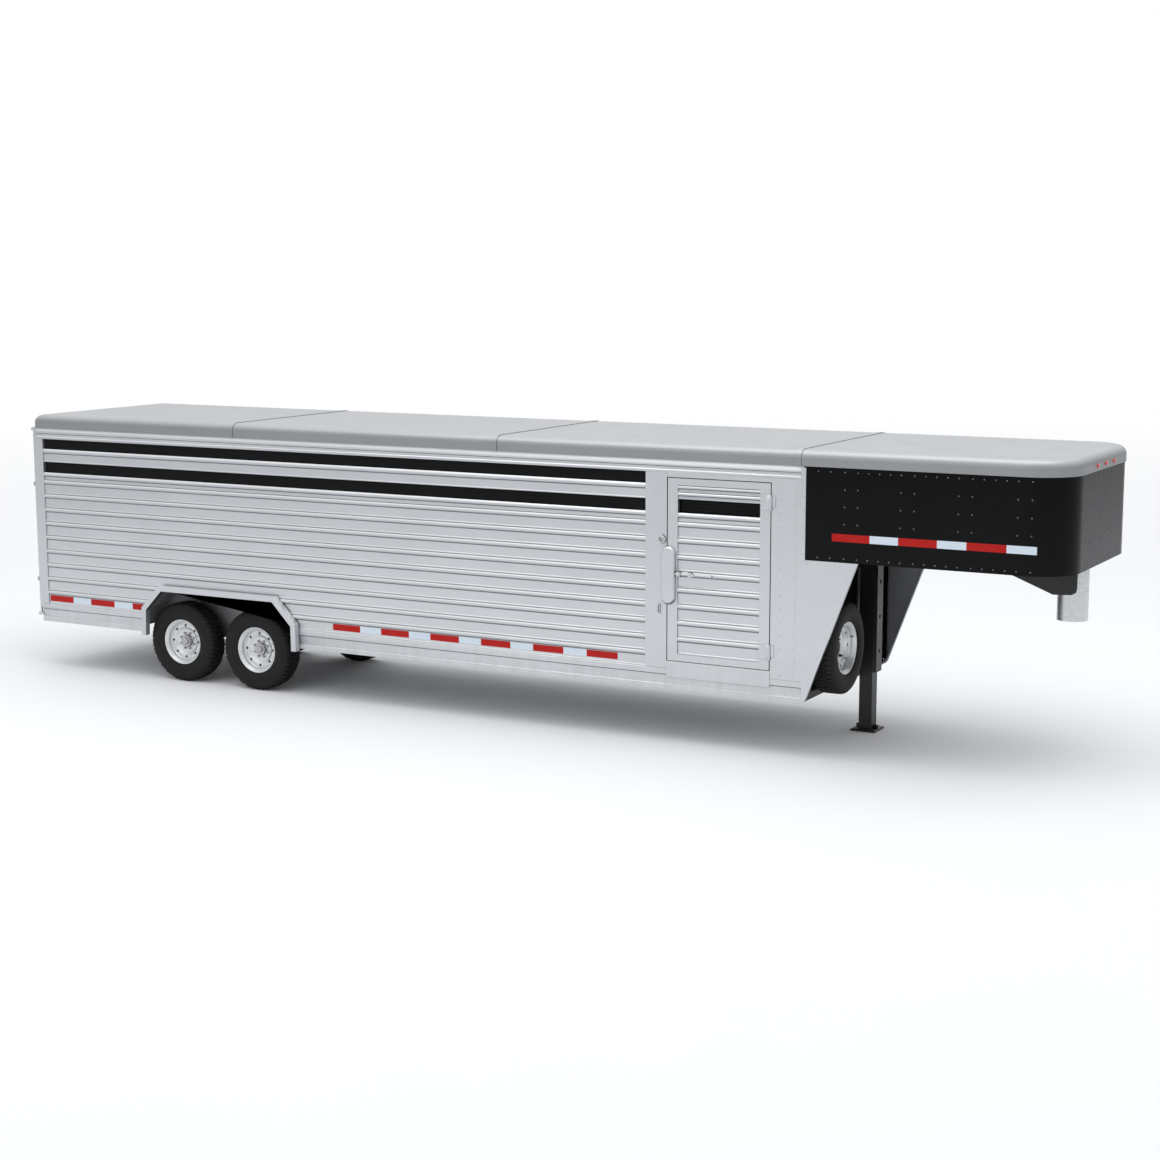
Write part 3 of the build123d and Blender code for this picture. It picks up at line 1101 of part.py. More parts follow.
def ball_clamp():
    """The plate that turns under the socket to lock the ball, with its pivot pin and handle."""
    x, z = COUPLER_STATION, TUBE_BOTTOM - 12.4
    plate = block(x - 96, x + 58, -44, 44, z, z + 12)
    plate = fillet(plate.edges().filter_by(Axis.Z), 18)
    plate -= rod_z(x, 0, z - 1, z + 13, BALL_SOCKET + 1.4)
    plate += rod_z(x - 78, 0, z, z + 50, 8)
    return [plate]


# ---- assembly ------------------------------------------------------------------------------------
def save(name, pieces):
    placed = [p.moved(Location((-MIDDLE, 0, 0))) for shape in pieces for p in shape.solids()]
    shape = placed[0] if len(placed) == 1 else Compound(placed)
    export_step(shape, f"parts/{name}.step")


def build():
    os.makedirs("parts", exist_ok=True)
    nodes = {
        "side_slats_right": side_slats(SLATS_FRONT),
        "side_slats_left": [other_side(s) for s in side_slats(DOOR_FRONT)],
        "bottom_rails": bottom_rails(), "top_rails": top_rails(),
        "wall_posts": wall_posts() + door_threshold(),
        "front_side_sheets": corner_skins() + front_wings() + nose_joint_strips(),
        "bulkhead": bulkhead() + bulkhead_corner_posts(), "floor_beams": floor_beams(),
        "floor_planks": floor_planks(), "wheel_wells": wheel_wells(), "fender_flares": fender_flares(),
        "roof_bows": roof_bows(), "roof_panels": roof_panels(), "nose_shell": nose_shell(),
        "nose_floor": nose_floor(), "body_rivets": body_rivets(), "nose_rivets": nose_rivets(),
        "tape_red": tape("red"), "tape_white": tape("white"), "lamps": marker_lamps() + tail_lamps(),
        "door_post_fittings": door_hinges() + door_keeper() + door_holdbacks(),
        "rear_frame": rear_frame() + rear_gate_hinges(), "centre_gate_posts": centre_gate_hangers(),
        "axle_tubes": axle_tubes(), "spare_carrier": spare_carrier(), "jack_housing": jack_housing(),
        "coupler_sleeve": coupler_sleeve(), "coupler_gussets": coupler_gussets(),
        "door_frame": door_frame(), "door_slats": door_slats(),
        "door_latch_guard": latch_guard() + door_bolt_guides(), "door_bolt": door_bolt(),
        "rear_gate": rear_gate() + rear_gate_slats(),
        "rear_gate_fittings": slide_gate_tracks() + cam_bar_guides(),
        "slide_gate": slide_gate(), "cam_bar": cam_bar(),
        "centre_gate": centre_gate(), "centre_gate_pin": centre_gate_pin(),
        "jack_leg": jack_leg() + jack_foot(), "jack_crank": crank(),
        "coupler_tube": coupler_tube(), "ball_clamp": ball_clamp(),
    }
    rim, tyre = rim_solid(), tyre_solid()
    nodes["spare_rim"], nodes["spare_tyre"] = [on_spare(rim)], [on_spare(tyre)]
    corners = {"rear_right": (0, 1), "front_right": (1, 1), "rear_left": (0, -1), "front_left": (1, -1)}
    for corner, (axle, side) in corners.items():
        wheel = AXLE_STATIONS[axle]
        set_up = {"torsion_arm": [torsion_arm(wheel)], "hub": hub(wheel) + lug_nuts(wheel),
                  "rim": [on_wheel(rim, wheel)], "tyre": [on_wheel(tyre, wheel)]}
        for name, pieces in set_up.items():
            nodes[f"{name}_{corner}"] = pieces if side > 0 else [other_side(p) for p in pieces]
    for name, pieces in nodes.items():
        save(name, pieces)
    print(len(nodes), "nodes; origin at station", MIDDLE)


build()
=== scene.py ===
import json
import math

import bmesh
import bpy
from mathutils import Matrix, Vector


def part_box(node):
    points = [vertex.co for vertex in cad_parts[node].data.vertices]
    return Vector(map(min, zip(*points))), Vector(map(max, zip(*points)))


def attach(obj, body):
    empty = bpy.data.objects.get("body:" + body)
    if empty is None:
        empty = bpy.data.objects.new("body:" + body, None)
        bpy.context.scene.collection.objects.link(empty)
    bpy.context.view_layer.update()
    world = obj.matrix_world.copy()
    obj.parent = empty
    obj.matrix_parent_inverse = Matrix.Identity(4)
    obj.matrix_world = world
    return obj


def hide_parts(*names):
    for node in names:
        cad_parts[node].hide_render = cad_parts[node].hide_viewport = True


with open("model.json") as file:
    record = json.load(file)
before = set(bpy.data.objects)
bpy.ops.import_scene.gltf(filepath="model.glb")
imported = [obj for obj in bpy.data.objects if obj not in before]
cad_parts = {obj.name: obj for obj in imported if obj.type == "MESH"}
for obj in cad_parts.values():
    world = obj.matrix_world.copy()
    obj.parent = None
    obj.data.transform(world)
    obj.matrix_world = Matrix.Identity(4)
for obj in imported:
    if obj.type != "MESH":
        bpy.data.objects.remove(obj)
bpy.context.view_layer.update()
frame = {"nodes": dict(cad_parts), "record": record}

# A gooseneck livestock trailer in metres: +X towards the nose, +Y to the left, +Z up.


# ---- shader nodes --------------------------------------------------------------------------------
class Value:
    """A socket that can be used in a sum or a product; each operator adds its Math node."""

    def __init__(self, finish, socket):
        self.finish, self.socket = finish, socket

    def _maths(self, operation, first, second):
        return self.finish.node("ShaderNodeMath", {"operation": operation}, {0: first, 1: second})

    def __add__(self, other):
        return self._maths("ADD", self, other)

    def __radd__(self, other):
        return self._maths("ADD", other, self)

    def __sub__(self, other):
        return self._maths("SUBTRACT", self, other)

    def __rsub__(self, other):
        return self._maths("SUBTRACT", other, self)

    def __mul__(self, other):
        return self._maths("MULTIPLY", self, other)

    def __rmul__(self, other):
        return self._maths("MULTIPLY", other, self)


class Finish:
    """One material, put together node by node in front of its surface shader."""

    def __init__(self, name, **constants):
        self.material = bpy.data.materials.new(name)
        self.material.use_nodes = True
        self.tree = self.material.node_tree
        self.surface = self.tree.nodes["Principled BSDF"]
        for socket, value in constants.items():
            self.surface.inputs[socket.replace("_", " ")].default_value = value

    def node(self, kind, settings, sockets, output=0):
        """Adds a node: its settings first, then a value or a link for each socket."""
        made = self.tree.nodes.new(kind)
        for setting, value in settings.items():
            if setting == "stops":
                self._set_stops(made.color_ramp, value)
            else:
                setattr(made, setting, value)
        for socket, value in sockets.items():
            if isinstance(value, Value):
                self.tree.links.new(value.socket, made.inputs[socket])
            else:
                made.inputs[socket].default_value = value
        return Value(self, made.outputs[output])

    def _set_stops(self, ramp, stops):
        first, last = stops[0], stops[-1]
        ramp.elements[0].position, ramp.elements[0].color = first[0], (first[1],) * 3 + (1,)
        ramp.elements[1].position, ramp.elements[1].color = last[0], (last[1],) * 3 + (1,)
        for position, grey in stops[1:-1]:
            ramp.elements.new(position).color = (grey,) * 3 + (1,)

    def place(self, stretch=(1.0, 1.0, 1.0)):
        """The point on the object in metres, scaled along each axis."""
        point = self.node("ShaderNodeTexCoord", {}, {}, output=3)
        return self.node("ShaderNodeVectorMath", {"operation": "MULTIPLY"}, {0: point, 1: stretch})

    def noise(self, scale, detail=3.0, rough=0.5, stretch=(1.0, 1.0, 1.0)):
        return self.node("ShaderNodeTexNoise", {}, {
            "Vector": self.place(stretch), "Scale": scale, "Detail": detail, "Roughness": rough})

    def cells(self, scale, feature="F1", stretch=(1.0, 1.0, 1.0), output=0):
        return self.node("ShaderNodeTexVoronoi", {"feature": feature}, {
            "Vector": self.place(stretch), "Scale": scale}, output)

    def ramp(self, value, *stops):
        """Turns a value into another along a line of (position, result) stops."""
        return self.node("ShaderNodeValToRGB", {"stops": stops}, {"Fac": value})

    def height(self):
        """How high the point is, in metres."""
        return self.node("ShaderNodeSeparateXYZ", {}, {"Vector": self.place()}, output=2)

    def facing(self, axis):
        """1 on faces that look along an axis, 0 on those beside it, less than 0 on those that look away."""
        geometry = self.node("ShaderNodeNewGeometry", {}, {}, output=1)
        return self.node("ShaderNodeSeparateXYZ", {}, {"Vector": geometry}, output="XYZ".index(axis))

    def corners(self, reach, low=0.25, high=0.85):
        """1 deep in a corner or beside a fitting, 0 on open faces: the mask for painted shade in corners.
        """
        shelter = self.node("ShaderNodeAmbientOcclusion", {"samples": 6}, {"Distance": reach}, output=1)
        return self.ramp(1.0 - shelter, (low, 0.0), (high, 1.0))

    def mix(self, factor, first, second):
        """A colour between two, by factor."""
        return self.node("ShaderNodeMix", {"data_type": "RGBA", "clamp_factor": True}, {
            0: factor, 6: first, 7: second}, output=2)

    def bump(self, height, depth, strength=1.0):
        return self.node("ShaderNodeBump", {}, {
            "Height": height, "Distance": depth, "Strength": strength})

    def feed(self, **sockets):
        for socket, value in sockets.items():
            self.tree.links.new(value.socket, self.surface.inputs[socket.replace("_", " ")])
        return self.material


def colour(red, green, blue):
    return (red, green, blue, 1.0)


# ---- finishes ------------------------------------------------------------------------------------
def wall_aluminium():
    """Bright aluminium extrusions: rolled grain along the trailer, faint clouds and road film low down,
    with painted shade on faces that look down and in corners, and a painted highlight on faces that look
    up.
    """
    f = Finish("wall_aluminium", Metallic=0.82, IOR=1.5)
    clouds = f.noise(1.3, 4.0, 0.6)
    grain = f.noise(90.0, 3.0, 0.6, stretch=(0.06, 1.0, 1.0))
    runs = f.noise(14.0, 4.0, 0.65, stretch=(1.0, 1.0, 0.07))
    film = f.ramp(f.height(), (0.46, 1.0), (0.98, 0.0)) * f.ramp(runs, (0.35, 0.1), (0.75, 1.0))
    tone = f.mix(clouds, colour(0.62, 0.635, 0.66), colour(0.72, 0.73, 0.75))
    tone = f.mix(grain * 0.20, tone, colour(0.44, 0.46, 0.49))
    # painted shade darkens faces that look down and a painted highlight lightens faces that look up, as if
    # lit from above
    under = f.ramp(f.facing("Z") * -1.0, (0.05, 0.0), (0.55, 1.0))
    above = f.ramp(f.facing("Z"), (0.05, 0.0), (0.55, 1.0))
    tone = f.mix(under * 0.9, tone, colour(0.10, 0.105, 0.115))
    tone = f.mix(above * 0.8, tone, colour(0.93, 0.94, 0.95))
    tone = f.mix(film * 0.22, tone, colour(0.36, 0.355, 0.345))
    # painted shade in corners and beside fittings, from ambient occlusion
    tone = f.mix(f.corners(0.045) * 0.85, tone, colour(0.085, 0.085, 0.088))
    rough = 0.27 + clouds * 0.07 + grain * 0.09 + film * 0.18
    peel = f.noise(420.0, 2.0) * 0.25 + grain * 0.5 + f.noise(2.4, 2.0) * 3.0
    return f.feed(Base_Color=tone, Roughness=rough, Normal=f.bump(peel, 0.00045))


def inner_aluminium():
    """Mill aluminium inside and under the body, dulled and scuffed."""
    f = Finish("inner_aluminium", Metallic=0.75, IOR=1.5)
    clouds = f.noise(3.0, 5.0, 0.6)
    scuffs = f.ramp(f.noise(38.0, 5.0, 0.7, stretch=(0.25, 1.0, 1.0)), (0.52, 0.0), (0.68, 1.0))
    tone = f.mix(clouds, colour(0.33, 0.335, 0.345), colour(0.50, 0.505, 0.515))
    tone = f.mix(scuffs * 0.35, tone, colour(0.62, 0.62, 0.63))
    rough = 0.42 + clouds * 0.16 - scuffs * 0.10
    return f.feed(Base_Color=tone, Roughness=rough, Normal=f.bump(scuffs + clouds * 0.6, 0.0004))


def roof_silver():
    """Satin silver roof sheet with slow waves and a thin settling of dust on what faces up, with a painted
    highlight on faces that look up and painted shade in corners.
    """
    f = Finish("roof_silver", Metallic=0.72, IOR=1.5)
    clouds = f.noise(0.9, 4.0, 0.55)
    speckle = f.noise(260.0, 2.0)
    upwards = f.ramp(f.facing("Z"), (0.55, 0.0), (1.0, 1.0))
    dust = upwards * f.ramp(f.noise(5.0, 5.0, 0.65), (0.35, 0.15), (0.7, 1.0))
    tone = f.mix(clouds, colour(0.31, 0.32, 0.33), colour(0.38, 0.385, 0.395))
    # painted highlight: faces that look up are lighter than the sides, as if lit from above
    tone = f.mix(f.ramp(f.facing("Z"), (0.30, 0.0), (0.97, 1.0)), tone, colour(0.56, 0.57, 0.585))
    tone = f.mix(speckle * 0.18, tone, colour(0.34, 0.35, 0.37))
    tone = f.mix(dust * 0.25, tone, colour(0.68, 0.675, 0.66))
    # painted shade in corners and beside fittings
    tone = f.mix(f.corners(0.05) * 0.8, tone, colour(0.07, 0.07, 0.072))
    rough = 0.33 + clouds * 0.08 + speckle * 0.05 + dust * 0.14
    waves = f.noise(1.5, 1.0) * 6.0 + speckle * 0.25
    return f.feed(Base_Color=tone, Roughness=rough, Normal=f.bump(waves, 0.0005))


def nose_black():
    """Gloss black paint with a clear coat, a little orange peel and faint dust."""
    f = Finish("nose_black", Metallic=0.0, IOR=1.16, Coat_Roughness=0.06)
    peel = f.noise(120.0, 2.0, 0.4)
    clouds = f.noise(2.2, 4.0, 0.6)
    dust = f.ramp(f.noise(24.0, 6.0, 0.7), (0.48, 0.0), (0.82, 1.0))
    tone = f.mix(clouds, colour(0.0022, 0.0022, 0.0025), colour(0.0050, 0.0050, 0.0056))
    tone = f.mix(dust * 0.05, tone, colour(0.06, 0.059, 0.057))
    rough = 0.14 + clouds * 0.08 + dust * 0.14
    coat = 0.10 - dust * 0.05
    return f.feed(Base_Color=tone, Roughness=rough, Coat_Weight=coat, Normal=f.bump(peel, 0.00025))


def satin_black(name, tone_low, tone_high, rough_low):
    """Satin black paint on steel, with fine texture, dust and small worn specks."""
    f = Finish(name, Metallic=0.0, IOR=1.5)
    clouds = f.noise(6.0, 5.0, 0.6)
    texture = f.noise(330.0, 2.0)
    specks = f.ramp(f.noise(70.0, 5.0, 0.75), (0.66, 0.0), (0.74, 1.0))
    tone = f.mix(clouds, colour(*(tone_low,) * 3), colour(*(tone_high,) * 3))
    tone = f.mix(specks * 0.25, tone, colour(0.16, 0.155, 0.15))
    rough = rough_low + clouds * 0.16 + texture * 0.06
    return f.feed(Base_Color=tone, Roughness=rough, Normal=f.bump(texture + clouds, 0.0003))


def vent_shade_black():
    """Near-black finish with a fine grain and a grey bloom in patches, for the panels that fill the vents
    as painted shade.
    """
    f = Finish("vent_shade_black", Metallic=0.0, IOR=1.2)
    bloom = f.noise(5.0, 5.0, 0.65)
    grain = f.noise(300.0, 2.0)
    tone = f.mix(bloom, colour(0.0030, 0.0030, 0.0033), colour(0.0095, 0.0095, 0.0100))
    rough = 0.45 + bloom * 0.20
    return f.feed(Base_Color=tone, Roughness=rough, Normal=f.bump(grain, 0.0003))


def rivets_worn_and_highlit():
    """Black rivet heads, lighter grey on top where a painted highlight mixes with random wear, still black
    round their edges.
    """
    f = Finish("rivets_worn_and_highlit", Metallic=0.6, IOR=1.5)
    wear = f.noise(22.0, 4.0, 0.6)
    # lighter grey on faces that look up: a painted highlight, mixed with random wear
    rubbed_and_highlit = f.ramp(f.facing("Z"), (0.0, 0.25), (0.5, 1.0)) * f.ramp(wear, (0.3, 0.5), (0.7, 1.0))
    tone = f.mix(rubbed_and_highlit, colour(0.030, 0.030, 0.031), colour(0.42, 0.42, 0.43))
    rough = 0.30 + wear * 0.15
    return f.feed(Base_Color=tone, Roughness=rough, Normal=f.bump(wear, 0.0002))


def zinc_plate():
    """Bright zinc plate with a faint spangle."""
    f = Finish("zinc_plate", Metallic=0.9, IOR=1.5)
    spangle = f.node("ShaderNodeSeparateColor", {}, {"Color": f.cells(85.0, output=1)})
    clouds = f.noise(9.0, 4.0, 0.6)
    tone = f.mix(spangle, colour(0.60, 0.62, 0.64), colour(0.80, 0.81, 0.82))
    tone = f.mix(clouds * 0.3, tone, colour(0.55, 0.56, 0.57))
    rough = 0.22 + spangle * 0.16 + clouds * 0.10
    return f.feed(Base_Color=tone, Roughness=rough, Normal=f.bump(clouds + spangle * 0.2, 0.0003))


def hub_steel():
    """Turned steel: fine rings of tool marks and a light oil stain."""
    f = Finish("hub_steel", Metallic=0.9, IOR=1.5)
    grain = f.noise(160.0, 3.0, 0.6)
    stain = f.noise(16.0, 5.0, 0.65)
    tone = f.mix(stain, colour(0.34, 0.335, 0.33), colour(0.56, 0.56, 0.57))
    tone = f.mix(grain * 0.25, tone, colour(0.68, 0.68, 0.69))
    rough = 0.26 + stain * 0.20
    return f.feed(Base_Color=tone, Roughness=rough, Normal=f.bump(grain, 0.0002))


def wheel_silver():
    """Bright silver wheel paint with fine flake, and painted shade in the dish's corners and round its
    holes.
    """
    f = Finish("wheel_silver", Metallic=0.7, IOR=1.5, Coat_Roughness=0.12)
    flake = f.cells(900.0)
    clouds = f.noise(12.0, 4.0, 0.6)
    tone = f.mix(clouds, colour(0.70, 0.71, 0.72), colour(0.82, 0.825, 0.83))
    tone = f.mix(flake * 0.25, tone, colour(0.42, 0.43, 0.45))
    # painted shade in the dish's corners and round the hand holes
    tone = f.mix(f.corners(0.03) * 0.8, tone, colour(0.10, 0.098, 0.094))
    rough = 0.24 + clouds * 0.12
    coat = 0.35 + clouds * 0.2
    return f.feed(Base_Color=tone, Roughness=rough, Coat_Weight=coat, Normal=f.bump(flake + clouds, 0.0002))


def tyre_rubber():
    """Black rubber: a fine grain, a pale bloom and dust in patches."""
    f = Finish("tyre_rubber", Metallic=0.0, IOR=1.3)
    bloom = f.noise(9.0, 5.0, 0.65)
    grain = f.noise(380.0, 2.0)
    dust = f.ramp(f.noise(34.0, 5.0, 0.7), (0.5, 0.0), (0.78, 1.0))
    tone = f.mix(bloom, colour(0.006, 0.006, 0.0065), colour(0.017, 0.017, 0.0175))
    tone = f.mix(dust * 0.14, tone, colour(0.10, 0.096, 0.088))
    rough = 0.58 + bloom * 0.16 + dust * 0.12
    return f.feed(Base_Color=tone, Roughness=rough, Normal=f.bump(grain + bloom, 0.0004))


def reflective_film(name, low, high):
    """Retroreflective tape: a sealed honeycomb under a clear face."""
    f = Finish(name, Metallic=0.0, IOR=1.22, Coat_Roughness=0.08)
    wall = f.ramp(f.cells(210.0, "DISTANCE_TO_EDGE"), (0.0, 1.0), (0.10, 0.0))
    clouds = f.noise(18.0, 4.0, 0.6)
    tone = f.mix(clouds, colour(*low), colour(*high))
    tone = f.mix(wall * 0.3, tone, colour(*(0.6 * part for part in low)))
    rough = 0.28 + clouds * 0.10 + wall * 0.08
    coat = 0.05 + clouds * 0.1
    return f.feed(Base_Color=tone, Roughness=rough, Coat_Weight=coat, Normal=f.bump(1.0 - wall, 0.0002))


def lamp_red():
    """Moulded red lens with a grid of small prisms behind a smooth face."""
    f = Finish("lamp_red", Metallic=0.0, IOR=1.49, Coat_Roughness=0.03)
    prisms = f.cells(240.0, stretch=(0.2, 1.0, 1.0))
    clouds = f.noise(40.0, 3.0)
    tone = f.mix(prisms, colour(0.50, 0.025, 0.012), colour(0.85, 0.10, 0.05))
    rough = 0.14 + clouds * 0.10
    coat = 0.6 + clouds * 0.3
    return f.feed(Base_Color=tone, Roughness=rough, Coat_Weight=coat, Normal=f.bump(prisms, 0.0004))


FINISHES = {
    "aluminium_body": wall_aluminium(),
    "aluminium_inner": inner_aluminium(),
    "roof_silver": roof_silver(),
    "black_nose": nose_black(),
    "black_paint": satin_black("black_enamel", 0.006, 0.016, 0.30),
    "black_steel": satin_black("chassis_black", 0.014, 0.030, 0.48),
    "zinc_steel": zinc_plate(),
    "hub_steel": hub_steel(),
    "wheel_silver": wheel_silver(),
    "tyre_rubber": tyre_rubber(),
    "red_film": reflective_film("red_film", (0.42, 0.009, 0.007), (0.52, 0.015, 0.011)),
    "white_film": reflective_film("white_film", (0.64, 0.74, 0.84), (0.74, 0.82, 0.90)),
    "lamp_lens": lamp_red(),
}
# the nose rivets take a finish with a painted highlight on their tops
FINISHES_BY_NODE = {"nose_rivets": rivets_worn_and_highlit()}
# the near-black finish of the vent panels, which stand in for the shade inside the body
VENT_SHADE_BLACK = vent_shade_black()
SLOT_OF = {part["node"]: part["material_slot"] for part in frame["record"]["subparts"]}
BODY_OF = {node: body for body, nodes in frame["record"]["behaviour"]["bodies"].items() for node in nodes}


# ---- mesh helpers --------------------------------------------------------------------------------
def finish_cad_nodes():
    """Gives every CAD node the finish of its slot."""
    for name, node in frame["nodes"].items():
        finish = FINISHES_BY_NODE.get(name, FINISHES[SLOT_OF[name]])
        for i in range(max(1, len(node.data.materials))):
            if i < len(node.data.materials):
                node.data.materials[i] = finish
            else:
                node.data.materials.append(finish)


def shade(mesh, degrees=35.0):
    """Smooth shading, with edges kept sharp where the faces meet at more than an angle."""
    mesh.shade_smooth()
    mesh.set_sharp_from_angle(angle=math.radians(degrees))


def piece(name, mesh, body, slot):
    """A new object of one mesh in the finish of a slot, riding on a body."""
    made = bpy.data.objects.new(name, mesh)
    bpy.context.scene.collection.objects.link(made)
    mesh.materials.clear()
    mesh.materials.append(FINISHES[slot])
    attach(made, body)
    return made


def mesh_from(bm, name, degrees=35.0):
    mesh = bpy.data.meshes.new(name)
    bm.to_mesh(mesh)
    bm.free()
    shade(mesh, degrees)
    return mesh


MERGE = 0.00002          # points closer than this are one
FLAT = math.radians(0.4)  # faces that turn less than this are one flat face


# nodes of folded sheet and thick plate, and the radius of their eased edges
EASED = {"fender_flares": 0.005, "bottom_rails": 0.003, "top_rails": 0.002, "wall_posts": 0.003,
         "door_frame": 0.002, "jack_leg": 0.004, "jack_housing": 0.004, "coupler_gussets": 0.004}


def soften(node, width, segments=2):
    """Stands in for a CAD node with the same shape, its sharp edges rounded."""
    bm = bmesh.new()
    bm.from_mesh(frame["nodes"][node].data)
    bmesh.ops.remove_doubles(bm, verts=bm.verts, dist=MERGE)
    bmesh.ops.dissolve_limit(bm, angle_limit=FLAT, verts=bm.verts, edges=bm.edges)
    made = piece(node + "_edges", mesh_from(bm, node + "_edges"), BODY_OF[node], SLOT_OF[node])
    bevel = made.modifiers.new("rounded", "BEVEL")
    bevel.width = width
    bevel.segments = segments
    bevel.limit_method = "ANGLE"
    bevel.angle_limit = math.radians(40.0)
    bevel.harden_normals = True
    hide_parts(node)
    return made


# ---- wheels --------------------------------------------------------------------------------------
def smooth_line(points, steps=6):
    """Points on a smooth curve through the given ones."""
    ends = [points[0]] + list(points) + [points[-1]]
    line = []
    for a, b, c, d in zip(ends, ends[1:], ends[2:], ends[3:]):
        for i in range(steps):
            t = i / steps
            weights = (-t + 2 * t**2 - t**3, 2 - 5 * t**2 + 3 * t**3, t + 4 * t**2 - 3 * t**3, t**3 - t**2)
            line.append(tuple(sum(w * p[k] for w, p in zip(weights, (a, b, c, d))) / 2 for k in (0, 1)))
    return line + [tuple(points[-1])]


def on_circle(radius, along, angle):
    """A point round the wheel's axis, which is Y here; outside is -Y."""
    return Vector((radius * math.cos(angle), -along, radius * math.sin(angle)))


def lathe(bm, profile, steps=128, closed=True):
    """Turns a profile of (radius, along) points round the axis."""
    rings = []
    for i in range(steps):
        rings.append([bm.verts.new(on_circle(r, a, math.tau * i / steps)) for r, a in profile])
    spans = len(profile) if closed else len(profile) - 1
    for i in range(steps):
        ring, following = rings[i], rings[(i + 1) % steps]
        for j in range(spans):
            k = (j + 1) % len(profile)
            bm.faces.new((ring[j], ring[k], following[k], following[j]))


def lug(bm, angle, span, stations, skew=0.0, draft=0.0035):
    """A block of tread: stations of (along, top radius, foot radius) joined across the tyre."""
    rows = []
    for along, top, foot in stations:
        middle = angle + skew * along
        row = []
        crown = span / 2 - draft
        for radius, half in ((foot, span / 2), (top, crown), (top, -crown), (foot, -span / 2)):
            row.append(bm.verts.new(on_circle(radius, along, middle + half)))
        rows.append(row)
    for row, following in zip(rows, rows[1:]):
        for j in range(3):
            bm.faces.new((row[j], row[j + 1], following[j + 1], following[j]))
    bm.faces.new(rows[0][::-1])
    bm.faces.new(rows[-1])


TREAD_DEPTH = 0.011
TREAD_PITCHES = 54
RIM_EDGE = 0.229          # radius over the rim's flange
FLANGE = 0.0955           # flange's outer face, from the middle of the wheel


def tyre_mesh(radius, width):
    """An all-terrain tyre: casing, five rows of tread blocks, shoulder lugs and sidewall rings."""
    bm = bmesh.new()
    half = width / 2
    foot = radius - TREAD_DEPTH
    outer = [
        (foot, 0.0), (foot - 0.0005, 0.060), (foot - 0.004, 0.084), (foot - 0.018, half - 0.014),
        (foot - 0.036, half - 0.007), (foot - 0.060, half - 0.0015), (0.300, half), (0.268, half - 0.004),
        (0.249, half - 0.010), (0.238, half - 0.016), (0.231, half - 0.0205), (0.222, half - 0.030)]
    side = smooth_line(outer, 5)
    rings = []
    for r, a in side:
        step = 0.0016 if 0.343 < r < 0.349 or 0.246 < r < 0.2515 else 0.0
        rings.append((r, a + step))
    inner = [(0.207, half - 0.040), (0.214, half - 0.058), (0.330, half - 0.026), (foot - 0.020, 0.060)]
    profile = rings + inner
    profile += [(r, -a) for r, a in reversed(profile[1:])]
    lathe(bm, profile, 144)
    pitch = math.tau / TREAD_PITCHES
    for i in range(TREAD_PITCHES):
        angle = i * pitch
        lug(bm, angle, 0.72 * pitch, [(-0.0125, radius, foot), (0.0125, radius, foot)], 1.1)
        for side_sign in (-1, 1):
            row = [(side_sign * a, radius - d, foot) for a, d in ((0.0195, 0.0), (0.0450, 0.0004))]
            lug(bm, angle + 0.35 * pitch, 0.76 * pitch, row, -1.6 * side_sign)
            shoulder = [(0.0515, 0.0005, 0.0), (0.074, 0.0016, 0.001), (0.088, 0.0055, 0.006),
                        (0.1005, 0.0175, 0.0175), (0.1085, 0.0340, 0.0275)]
            row = [(side_sign * a, radius - d, foot - f) for a, d, f in shoulder]
            odd = i % 2
            lug(bm, angle + 0.1 * odd * pitch, (0.62 + 0.1 * odd) * pitch, row, 0.5 * side_sign)
    bmesh.ops.recalc_face_normals(bm, faces=bm.faces)
    return mesh_from(bm, "tyre", 32.0)


DISH = 0.0335             # outer face of the disc near the barrel
PAD = 0.012               # outer face of the disc where it bolts on
HAND_HOLES = 8
HAND_HOLE_CIRCLE = 0.160


def rim_profile():
    """Half a steel wheel's section as (radius, along), all the way round."""
    lip = [(RIM_EDGE - 0.010, FLANGE - 0.0105), (RIM_EDGE - 0.004, FLANGE - 0.0080),
           (RIM_EDGE, FLANGE - 0.0030), (RIM_EDGE - 0.0025, FLANGE),
           (RIM_EDGE - 0.0075, FLANGE - 0.0012), (RIM_EDGE - 0.0160, FLANGE - 0.0080)]
    bowl = [(0.2050, FLANGE - 0.016), (0.1955, FLANGE - 0.026), (0.1925, FLANGE - 0.046),
            (0.1850, FLANGE - 0.057), (0.1780, DISH + 0.002)]
    disc = [(0.166, DISH + 0.0045), (0.150, DISH + 0.0020), (0.137, DISH - 0.007), (0.124, PAD + 0.006),
            (0.112, PAD + 0.0005), (0.080, PAD), (0.0640, PAD), (0.0608, PAD - 0.003)]
    back = [(0.0608, 0.001), (0.112, 0.001), (0.124, 0.007), (0.150, DISH - 0.010), (0.176, DISH - 0.012)]
    barrel = [(0.176, -FLANGE + 0.060), (0.194, -FLANGE + 0.046), (0.194, -FLANGE + 0.014),
              (RIM_EDGE - 0.008, -FLANGE), (RIM_EDGE, -FLANGE + 0.002), (RIM_EDGE - 0.002, -FLANGE + 0.008),
              (0.2025, -FLANGE + 0.016), (0.2025, -FLANGE + 0.044), (0.188, -FLANGE + 0.056),
              (0.188, FLANGE - 0.060), (0.2025, FLANGE - 0.046), (0.2025, FLANGE - 0.016)]
    return smooth_line(lip + bowl + disc, 4) + back + barrel


def rim_mesh():
    bm = bmesh.new()
    lathe(bm, rim_profile(), 128)
    bmesh.ops.recalc_face_normals(bm, faces=bm.faces)
    return mesh_from(bm, "rim", 30.0)


